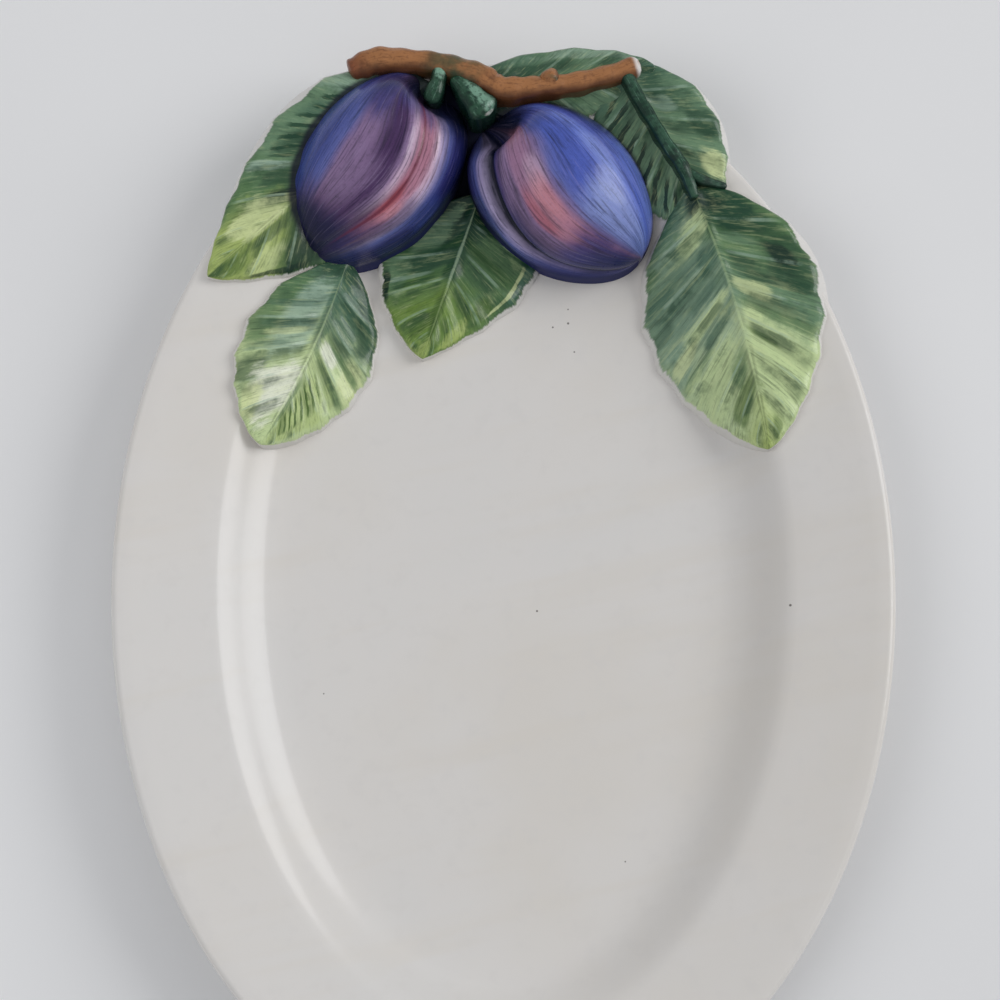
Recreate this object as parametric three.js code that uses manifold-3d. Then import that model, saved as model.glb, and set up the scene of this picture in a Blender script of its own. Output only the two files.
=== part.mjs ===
// Oval pottery platter with a moulded spray of plums, leaves and a branch at one end.
// Millimetres, +Z up, +Y towards the fruit, origin at the bottom centre of the whole piece.
import * as THREE from 'three';
import { mergeVertices } from 'three/addons/utils/BufferGeometryUtils.js';
import Module from 'manifold-3d';

const wasm = await Module();
wasm.setup();

// Ovals of the dish: half width along X, half length along Y
const RIM_HALF_WIDTH = 129;
const RIM_HALF_LENGTH = 178.5;
const WELL_HALF_WIDTH = 92.5;
const WELL_HALF_LENGTH = 147.4;
const FLOOR_HALF_WIDTH = 79;
const FLOOR_HALF_LENGTH = 133;
const WELL_SHIFT = 3; // the well and the foot sit this far towards the fruit

// Heights above the table, and the section of the dish
const FOOT_HEIGHT = 4;
const FOOT_OUTER = 75;
const FOOT_WIDTH = 6;
const FOOT_BEVEL = 0.8;
const FLOOR_TOP = 10;
const WELL_TOP = 22;
const RIM_TOP = 27.4;
const RIM_THICKNESS = 5.4;
const LIP_RADIUS = RIM_THICKNESS / 2;
const LIP_HANDLE = (LIP_RADIUS * 4) / 3; // makes the lip a half round
const LIP_UNDERCUT = 0.4; // the underside dips this much just inside the lip
const UNDER_WALL = { lower: [86, 4.6], upper: [89.5, 14.5], end: [102, 17.6] }; // from the foot to the rim
const WELL_WALL = { start: [97.5, 22.6], upper: [89.5, 21.4], lower: [86, FLOOR_TOP], end: [73, FLOOR_TOP] };
const BODY_SEGMENTS = 60;
const CURVE_STEPS = 6;

// Leaves, all modelled alike: thickness at the edge, swelling, midrib and side veins
const LEAF_EDGE = 2.4;
const LEAF_SWELL = 1.6;
const MIDRIB_HEIGHT = 1.3;
const MIDRIB_WIDTH = 2.2;
const VEIN_HEIGHT = 0.9;
const VEIN_SWEEP = 0.9; // how far the side veins lean towards the tip
const ROWS_PER_VEIN = 4;
const LEAF_COLUMNS = 10;
const COLUMN_CROWDING = 1.4; // over 1 the columns lie closer together by the midrib
const MIDRIB_TAPER = 0.6; // share of its height that the midrib loses by the tip
const VEIN_START = 0.25; // side veins reach their full height this far out
const VEIN_FADE = 6; // power by which the veins die away at the edge
const SCALLOP = 0.03; // the edge swells by this share at each side vein
const SCALLOP_FADE = 4; // power by which the swelling keeps to the edge
const DRAPE_INSIDE = 30; // leaves leave the floor this far inside the well's edge
const DRAPE_OUTSIDE = 8;

// Each side of a leaf: half width, the widest place from base to tip, and how full the outline is
const side = (halfWidth, widest, fullness) => ({ halfWidth, widest, fullness });

// Leaves: base and tip of the midrib, its sideways bow, extra thickness, and both sides seen from the base
const LEAVES = [
  {
    base: [-25, 170],
    tip: [-99.5, 101],
    bow: 0,
    lift: 0.6,
    veins: 7,
    left: side(27, 0.42, 0.75),
    right: side(27, 0.37, 0.78),
  },
  {
    base: [-53, 109.5],
    tip: [-81.6, 45],
    bow: 2,
    lift: 0.8,
    veins: 7,
    left: side(20.2, 0.47, 0.73),
    right: side(23.4, 0.52, 0.62),
  },
  {
    base: [-8, 134],
    tip: [-27.7, 76.5],
    bow: 0,
    lift: 1,
    veins: 6,
    left: side(26.7, 0.34, 0.92),
    right: side(25, 0.5, 0.7),
  },
  {
    base: [63.5, 133],
    tip: [88.5, 42.8],
    bow: 3,
    lift: 0.8,
    veins: 8,
    left: side(30, 0.43, 0.65),
    right: side(29.4, 0.47, 0.8),
  },
  {
    base: [41, 176],
    tip: [70, 121],
    bow: 0,
    lift: 0,
    veins: 6,
    left: side(20.2, 0.46, 0.58),
    right: side(24, 0.44, 0.7),
  },
  {
    base: [-17, 168.5],
    tip: [52, 175],
    bow: 0,
    lift: 0,
    veins: 5,
    left: side(11, 0.52, 0.54),
    right: side(15, 0.5, 0.7),
  },
];

// Places along a plum go from -1 at its stalk end to 1 at its tip, and turns around it are degrees from the
// top: the crease where it runs lengthways and how it bends away from there, and the pit that the stalk is in
const PLUMS = [
  {
    centre: [-42.8, 142],
    heading: 233,
    halfLength: 37.4,
    halfWidth: 26.3,
    crease: { place: 0.2, turn: -36, bend: 39 },
    pit: { place: -0.87, turn: -15 },
  },
  {
    centre: [19.1, 134.5],
    heading: -39,
    halfLength: 34.8,
    halfWidth: 26.5,
    crease: { place: 0.64, turn: 76, bend: -28 },
    pit: { place: -0.87, turn: 0 },
  },
];
const PLUM_MIDDLE = 19.5; // height of the widest outline above the table
const PLUM_RISE = 26; // from there to the top
const PLUM_TILT = 0.08; // the stalk ends stand higher, up on the rim
const PLUM_RINGS = 16;
const PLUM_SIDES = 40;
const CREASE_DEPTH = 0.11; // share of the half width
const CREASE_WIDTH = 8; // degrees around the plum
const PLUM_SHOULDER = 0.85; // under 1 the flanks stand steeper than an ellipse
const TIP_START = 0.5; // the pointed end begins this share of the half length from the middle
const TIP_POINT = 0.05; // share of the half length that the point adds
const TIP_NARROWING = 0.05; // share of the girth that it loses there
const FLANK_SHOULDER = 0.2; // below the widest line the flanks go almost straight down
const PIT_DEPTH = 0.25; // hollow at the stalk, as a share of the way to the plum's middle
const PIT_RADIUS = 0.35; // its radius on a plum of radius 1

// Branch, stalks and leaf stem: points along each, with the radius at each point
const STEMS = [
  {
    points: [
      [-53, 173.5, 31], [-43, 177, 32], [-26, 176.3, 32.5], [-10, 171.8, 33],
      [-1, 166.6, 33.5], [13, 167.3, 33], [30, 170, 32.5], [47, 175.5, 32],
    ],
    radii: [4, 4.6, 3.8, 4.5, 4.3, 3.6, 3.5, 3.7],
    sides: 10,
    steps: 28,
  },
  { points: [[-21.5, 174, 33], [-22.5, 168, 34], [-25, 161, 33]], radii: [3, 2.8, 3.4], sides: 8, steps: 8 },
  { points: [[-15, 170, 33], [-10, 163, 34], [-4, 155, 34]], radii: [3.6, 4.4, 4.8], sides: 8, steps: 8 },
  {
    points: [[42, 172, 32], [47, 161.5, 32.5], [54.5, 148.5, 32.5], [61, 138, 32], [65, 128, 31]],
    radii: [2.6, 2.3, 2.3, 2.4, 1.6],
    sides: 8,
    steps: 16,
  },
  { points: [[61, 138, 31.5], [70, 134, 31.5], [81, 132, 30.5]], radii: [2, 1.9, 1.2], sides: 8, steps: 8 },
];
const STEM_END = 0.35; // share of a stem's section that is left at its rounded ends
const BUD = { centre: [16, 171.5, 33], radius: 2.8, sides: 10, rings: 6 };

// Vertices of a form, or of the finished surface, closer than these are one
const FORM_WELD = 0.001;
const SHORTEST_EDGE = 0.002;
const THINNEST_TRIANGLE = 0.002; // no triangle of the finished surface is thinner
const LEVEL = 0.01; // less than this counts as level with a stem's or the bud's middle

// Every part of the spray goes straight down into the dish by this much below its widest line
const SPRAY_DROP = 26;

// The space under the dish that the modelled spray may not fill
const UNDER_SPACE = [[0, -20], [180, -20], [180, 32], [124, 23.6], [104, 20], [93, 17.5], [80, 7], [0, 7]];

// A closed surface with shared vertices, each vertex moved by the given function
function remap(geometry, place) {
  geometry.deleteAttribute('normal');
  geometry.deleteAttribute('uv');
  const shared = mergeVertices(geometry);
  const position = shared.getAttribute('position');
  const point = new THREE.Vector3();
  for (let i = 0; i < position.count; i += 1) {
    point.fromBufferAttribute(position, i);
    place(point);
    position.setXYZ(i, point.x, point.y, point.z);
  }
  return mergeVertices(shared, FORM_WELD);
}

// Triangles of a surface, without those that shrank to a line
function trianglesOf(geometry) {
  const index = geometry.index.array;
  const triangles = [];
  for (let i = 0; i < index.length; i += 3) {
    const [a, b, c] = [index[i], index[i + 1], index[i + 2]];
    if (a !== b && b !== c && c !== a) {
      triangles.push([a, b, c]);
    }
  }
  return triangles;
}

// Where three corners almost lie on a line, the long side is turned to the next triangle's far corner
function turnThinTriangles(position, triangles) {
  const sideOwner = new Map();
  const put = (i, corners) => {
    triangles[i] = corners;
    corners.forEach((from, k) => sideOwner.set(`${from} ${corners[(k + 1) % 3]}`, i));
  };
  const cornerAt = (i) => new THREE.Vector3().fromBufferAttribute(position, i);
  triangles.forEach((corners, i) => put(i, corners));
  for (let i = 0; i < triangles.length; i += 1) {
    const points = triangles[i].map(cornerAt);
    const lengths = points.map((point, k) => point.distanceTo(points[(k + 1) % 3]));
    const longest = Math.max(...lengths);
    const height = (2 * new THREE.Triangle(...points).getArea()) / longest;
    if (height < THINNEST_TRIANGLE) {
      const k = lengths.indexOf(longest);
      const [from, to, near] = [triangles[i][k], triangles[i][(k + 1) % 3], triangles[i][(k + 2) % 3]];
      const other = sideOwner.get(`${to} ${from}`);
      const far = triangles[other].find((corner) => corner !== from && corner !== to);
      if (!sideOwner.has(`${near} ${far}`)) {
        sideOwner.delete(`${from} ${to}`);
        sideOwner.delete(`${to} ${from}`);
        put(i, [from, far, near]);
        put(other, [far, to, near]);
      }
    }
  }
  return triangles;
}

function solidOf(geometry) {
  const mesh = new wasm.Mesh({
    numProp: 3,
    vertProperties: new Float32Array(geometry.getAttribute('position').array),
    triVerts: new Uint32Array(trianglesOf(geometry).flat()),
  });
  return new wasm.Manifold(mesh);
}

// Half length of the oval whose half width is given
function ovalHalfLength(halfWidth) {
  if (halfWidth <= FLOOR_HALF_WIDTH) {
    return (halfWidth * FLOOR_HALF_LENGTH) / FLOOR_HALF_WIDTH;
  }
  if (halfWidth <= WELL_HALF_WIDTH) {
    return THREE.MathUtils.mapLinear(
      halfWidth, FLOOR_HALF_WIDTH, WELL_HALF_WIDTH, FLOOR_HALF_LENGTH, WELL_HALF_LENGTH);
  }
  return THREE.MathUtils.mapLinear(
    halfWidth, WELL_HALF_WIDTH, RIM_HALF_WIDTH, WELL_HALF_LENGTH, RIM_HALF_LENGTH);
}

// How far the oval of that half width is moved towards the fruit
function ovalShift(halfWidth) {
  const outward = (halfWidth - WELL_HALF_WIDTH) / (RIM_HALF_WIDTH - WELL_HALF_WIDTH);
  return WELL_SHIFT * (1 - THREE.MathUtils.clamp(outward, 0, 1));
}

// A section turned around Z and drawn out into ovals
function ovalSolid(profile) {
  const lathe = new THREE.LatheGeometry(profile, BODY_SEGMENTS);
  return solidOf(remap(lathe, (point) => {
    const halfWidth = Math.hypot(point.x, point.z);
    const angle = Math.atan2(point.z, point.x);
    const height = point.y;
    point.x = halfWidth * Math.cos(angle);
    point.y = -ovalHalfLength(halfWidth) * Math.sin(angle) + ovalShift(halfWidth);
    point.z = height;
  }));
}

// Section of the dish, from the middle of the underside out round the lip and back over the floor
function dishProfile() {
  const footInner = FOOT_OUTER - FOOT_WIDTH;
  const lipCentre = RIM_HALF_WIDTH - LIP_RADIUS;
  const lipHeight = RIM_TOP - LIP_RADIUS;
  const lipOuter = lipCentre + LIP_HANDLE;
  const path = new THREE.Path();
  path.moveTo(0, FOOT_HEIGHT);
  path.lineTo(footInner, FOOT_HEIGHT);
  path.lineTo(footInner + FOOT_BEVEL, 0);
  path.lineTo(FOOT_OUTER - FOOT_BEVEL, 0);
  path.lineTo(FOOT_OUTER, FOOT_HEIGHT);
  path.bezierCurveTo(...UNDER_WALL.lower, ...UNDER_WALL.upper, ...UNDER_WALL.end);
  path.lineTo(lipCentre - LIP_RADIUS, lipHeight - LIP_RADIUS - LIP_UNDERCUT);
  path.lineTo(lipCentre, lipHeight - LIP_RADIUS);
  path.bezierCurveTo(lipOuter, lipHeight - LIP_RADIUS, lipOuter, RIM_TOP, lipCentre, RIM_TOP);
  path.lineTo(...WELL_WALL.start);
  path.bezierCurveTo(...WELL_WALL.upper, ...WELL_WALL.lower, ...WELL_WALL.end);
  path.lineTo(0, FLOOR_TOP);
  return path.getPoints(CURVE_STEPS);
}

// Height of a thin sheet laid over floor, wall and rim, without the wall's sharp turns
function drapeHeight(x, y) {
  const towards = y - WELL_SHIFT;
  const reach = Math.hypot(x, towards);
  const ratio = Math.hypot(x / WELL_HALF_WIDTH, towards / WELL_HALF_LENGTH);
  const outside = reach * (1 - 1 / ratio);
  const climb = THREE.MathUtils.smoothstep(outside, -DRAPE_INSIDE, DRAPE_OUTSIDE);
  const slope = (RIM_TOP - WELL_TOP) / (RIM_HALF_WIDTH - WELL_HALF_WIDTH);
  return FLOOR_TOP + (WELL_TOP - FLOOR_TOP) * climb + slope * Math.max(0, outside);
}

// A leaf: rows follow the side veins, columns run beside the midrib
function leafSolid(leaf) {
  const base = new THREE.Vector2(...leaf.base);
  const span = new THREE.Vector2(...leaf.tip).sub(base);
  const across = new THREE.Vector2(-span.y, span.x).normalize();
  const box = new THREE.BoxGeometry(1, 2, 1, leaf.veins * ROWS_PER_VEIN, LEAF_COLUMNS, 1);
  return solidOf(remap(box, (point) => {
    const row = point.x + 0.5;
    const outward = Math.abs(point.y) ** COLUMN_CROWDING;
    const isTop = point.z > 0;
    const half = point.y > 0 ? leaf.left : leaf.right;
    const along = 1 - (1 - row) ** (1 + VEIN_SWEEP * outward);
    const wave = Math.cos(2 * Math.PI * leaf.veins * row);
    const stretch = Math.log(0.5) / Math.log(half.widest);
    const fullness = Math.max(0, Math.sin(Math.PI * along ** stretch)) ** half.fullness;
    const scallop = 1 + SCALLOP * wave * outward ** SCALLOP_FADE;
    const offset = Math.sign(point.y) * outward * half.halfWidth * fullness * scallop;
    const bow = 4 * leaf.bow * along * (1 - along);
    point.x = base.x + span.x * along + across.x * (offset + bow);
    point.y = base.y + span.y * along + across.y * (offset + bow);
    const taper = 1 - MIDRIB_TAPER * along;
    const midrib = MIDRIB_HEIGHT * taper * Math.exp(-((offset / MIDRIB_WIDTH) ** 2));
    const veinReach = Math.min(1, outward / VEIN_START) * (1 - outward ** VEIN_FADE);
    const vein = VEIN_HEIGHT * wave * veinReach * fullness;
    const swell = (LEAF_SWELL + leaf.lift) * (1 - outward ** 2) * Math.sqrt(fullness);
    const top = drapeHeight(point.x, point.y) + LEAF_EDGE + leaf.lift + swell + midrib + vein;
    point.z = isTop ? top : 0;
  }));
}

// A plum lying on its side, creased from stalk to tip, with straight flanks below its widest line
function plumSolid(plum) {
  const heading = THREE.MathUtils.degToRad(plum.heading);
  const forward = new THREE.Vector2(Math.cos(heading), Math.sin(heading));
  const across = new THREE.Vector2(forward.y, -forward.x);
  const pitTurn = THREE.MathUtils.degToRad(plum.pit.turn);
  const pit = new THREE.Vector3().setFromSphericalCoords(1, Math.acos(plum.pit.place), pitTurn);
  const sphere = new THREE.SphereGeometry(1, PLUM_SIDES, PLUM_RINGS);
  return solidOf(remap(sphere, (point) => {
    const around = Math.atan2(point.x, point.z);
    const ring = Math.hypot(point.x, point.z);
    const tipward = THREE.MathUtils.smoothstep(point.y, TIP_START, 1);
    const hollow = 1 - PIT_DEPTH * Math.exp(-((point.distanceTo(pit) / PIT_RADIUS) ** 2));
    const crease = plum.crease.turn + plum.crease.bend * (point.y - plum.crease.place) ** 2;
    const fromCrease = THREE.MathUtils.radToDeg(around) - crease;
    const groove = CREASE_DEPTH * Math.exp(-((fromCrease / CREASE_WIDTH) ** 2));
    const girth = ring * hollow * (1 - TIP_NARROWING * tipward) * (1 - groove);
    const along = plum.halfLength * (point.y * hollow + TIP_POINT * tipward);
    const isUpper = Math.cos(around) >= 0;
    const shoulder = isUpper ? PLUM_SHOULDER : FLANK_SHOULDER;
    const sideways = Math.sign(around) * Math.abs(Math.sin(around)) ** shoulder;
    const offset = plum.halfWidth * girth * sideways;
    const rise = isUpper ? PLUM_RISE * girth : SPRAY_DROP;
    const tilt = PLUM_TILT * along * forward.y;
    point.x = plum.centre[0] + forward.x * along + across.x * offset;
    point.y = plum.centre[1] + forward.y * along + across.y * offset;
    point.z = PLUM_MIDDLE + tilt + rise * Math.cos(around);
  }));
}

// A round stem along a smooth curve, rounded off at both ends
function stemSolid(stem) {
  const curve = new THREE.CatmullRomCurve3(stem.points.map((point) => new THREE.Vector3(...point)));
  const radiusCurve = new THREE.SplineCurve(stem.radii.map((radius, i) => new THREE.Vector2(i, radius)));
  const length = curve.getLength();
  const cylinder = new THREE.CylinderGeometry(1, 1, 1, stem.sides, stem.steps);
  const up = new THREE.Vector3(0, 0, 1);
  return solidOf(remap(cylinder, (point) => {
    const along = point.y + 0.5;
    const centre = curve.getPoint(along);
    const tangent = curve.getTangent(along);
    const sideways = new THREE.Vector3().crossVectors(tangent, up).normalize();
    const upward = new THREE.Vector3().crossVectors(sideways, tangent);
    const fullRadius = radiusCurve.getPoint(along).y;
    const toEnd = (Math.min(along, 1 - along) * length) / fullRadius;
    const radius = fullRadius * Math.sqrt(Math.min(1, STEM_END + toEnd));
    const isOnAxis = Math.hypot(point.x, point.z) < LEVEL;
    const reach = isOnAxis ? 0 : radius;
    const angle = Math.atan2(point.z, point.x);
    const isLower = Math.sin(angle) < -LEVEL && reach > 0;
    point.copy(centre);
    point.addScaledVector(sideways, reach * Math.cos(angle));
    point.addScaledVector(isLower ? up : upward, isLower ? -SPRAY_DROP : reach * Math.sin(angle));
  }));
}

function budSolid(bud) {
  const sphere = new THREE.SphereGeometry(bud.radius, bud.sides, bud.rings);
  return solidOf(remap(sphere, (point) => {
    const height = point.y < -LEVEL ? -SPRAY_DROP : point.y;
    point.set(point.x, -point.z, height);
    point.add(new THREE.Vector3(...bud.centre));
  }));
}

function platterGeometry() {
  const dish = ovalSolid(dishProfile());
  const pieces = [...LEAVES.map(leafSolid), ...PLUMS.map(plumSolid), ...STEMS.map(stemSolid), budSolid(BUD)];
  const underProfile = UNDER_SPACE.map((corner) => new THREE.Vector2(...corner));
  const underSpace = ovalSolid(underProfile);
  const spray = pieces.reduce((whole, piece) => whole.add(piece)).subtract(underSpace);
  const { vertProperties, triVerts } = dish.add(spray).getMesh();
  const joined = new THREE.BufferGeometry();
  joined.setAttribute('position', new THREE.BufferAttribute(vertProperties, 3));
  joined.setIndex(new THREE.BufferAttribute(triVerts, 1));
  const geometry = mergeVertices(joined, SHORTEST_EDGE);
  geometry.setIndex(turnThinTriangles(geometry.getAttribute('position'), trianglesOf(geometry)).flat());
  geometry.computeBoundingBox();
  const { min, max } = geometry.boundingBox;
  geometry.translate(-(min.x + max.x) / 2, -(min.y + max.y) / 2, -min.z);
  geometry.computeVertexNormals();
  return geometry;
}

const glaze = new THREE.MeshStandardMaterial({ color: 0xd9d5cd, roughness: 0.25, metalness: 0 });
const platter = new THREE.Mesh(platterGeometry(), glaze);
platter.name = 'platter';

const object = new THREE.Group();
object.add(platter);

export default object;
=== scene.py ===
"""Looks of an oval pottery platter with a moulded and hand-painted spray of plums, as a Blender add-on."""

import math
from typing import NamedTuple

import bmesh
import bpy
from bpy.props import FloatProperty, FloatVectorProperty, PointerProperty
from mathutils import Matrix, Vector, geometry


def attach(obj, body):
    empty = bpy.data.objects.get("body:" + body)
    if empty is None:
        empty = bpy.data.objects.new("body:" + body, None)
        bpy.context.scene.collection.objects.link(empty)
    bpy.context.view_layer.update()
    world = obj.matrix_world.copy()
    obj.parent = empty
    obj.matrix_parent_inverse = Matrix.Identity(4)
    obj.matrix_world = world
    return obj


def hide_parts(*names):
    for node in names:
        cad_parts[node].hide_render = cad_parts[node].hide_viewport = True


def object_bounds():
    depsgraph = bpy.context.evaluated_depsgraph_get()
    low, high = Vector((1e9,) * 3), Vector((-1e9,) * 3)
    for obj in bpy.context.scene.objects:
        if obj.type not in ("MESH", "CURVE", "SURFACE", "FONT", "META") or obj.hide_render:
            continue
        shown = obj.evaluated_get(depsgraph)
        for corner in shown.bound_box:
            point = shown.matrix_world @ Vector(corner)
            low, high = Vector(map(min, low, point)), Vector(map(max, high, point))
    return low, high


bl_info = {
    "name": "Pottery platter with plums",
    "version": (1, 0, 0),
    "blender": (4, 5, 0),
    "location": "3D View > Sidebar > Platter",
    "description": "Builds a glazed oval platter with a moulded, painted spray of plums",
    "category": "Add Mesh",
}

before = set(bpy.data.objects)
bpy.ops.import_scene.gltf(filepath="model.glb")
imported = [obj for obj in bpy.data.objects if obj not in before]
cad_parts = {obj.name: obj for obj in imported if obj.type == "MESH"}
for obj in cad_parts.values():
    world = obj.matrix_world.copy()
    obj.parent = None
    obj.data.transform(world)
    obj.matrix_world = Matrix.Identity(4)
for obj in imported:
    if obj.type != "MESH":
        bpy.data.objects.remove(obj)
CAD_LOW, CAD_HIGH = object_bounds()

MM = 0.001
BODY = "root"
NODE = "platter"
CASTING = "platter_casting"
PAINT_MAP = "paint"


class LeafSide(NamedTuple):
    """One half of a leaf: half width, the widest place from base to tip, and how full its outline is."""

    half_width: float
    widest: float
    fullness: float


class Stroke(NamedTuple):
    """A brush stroke on a leaf: where along the leaf, where across it, its colour and how much it covers."""

    rows: tuple
    across: tuple
    colour: str
    cover: float = 0.9


class Leaf(NamedTuple):
    """A moulded leaf in millimetres from the middle of the rim oval, with its paint."""

    name: str
    base: tuple
    tip: tuple
    bow: float
    lift: float
    veins: int
    left: LeafSide
    right: LeafSide
    ground: tuple
    strokes: tuple
    dashes: tuple = ()


class Crease(NamedTuple):
    """A plum's crease: a place along the plum, its turn from the top there, and how it bends away from it."""

    place: float
    turn: float
    bend: float


class Pit(NamedTuple):
    """The hollow that a plum's stalk is in: its place along the plum, and its turn from the top."""

    place: float
    turn: float


class Plum(NamedTuple):
    """A moulded plum: its middle, the direction of its tip, its size, crease and pit, and its paint.

    Places along it go from -1 at its stalk end to 1 at its tip, and turns around it are degrees from the top.
    """

    name: str
    centre: tuple
    heading: float
    half_length: float
    half_width: float
    crease: Crease
    pit: Pit
    bands: tuple
    patches: tuple


class Stem(NamedTuple):
    """A round stem: points along it, the radius at each, how high it stands, its finish and its strokes."""

    name: str
    points: tuple
    radii: tuple
    height: float
    finish: str
    strokes: tuple = ()


class Lamp(NamedTuple):
    """A round soft light: its place, what it faces, its width and power, and whether the glaze mirrors it."""

    name: str
    place: tuple
    target: tuple
    width: float
    power: float
    is_mirrored: bool


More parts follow.
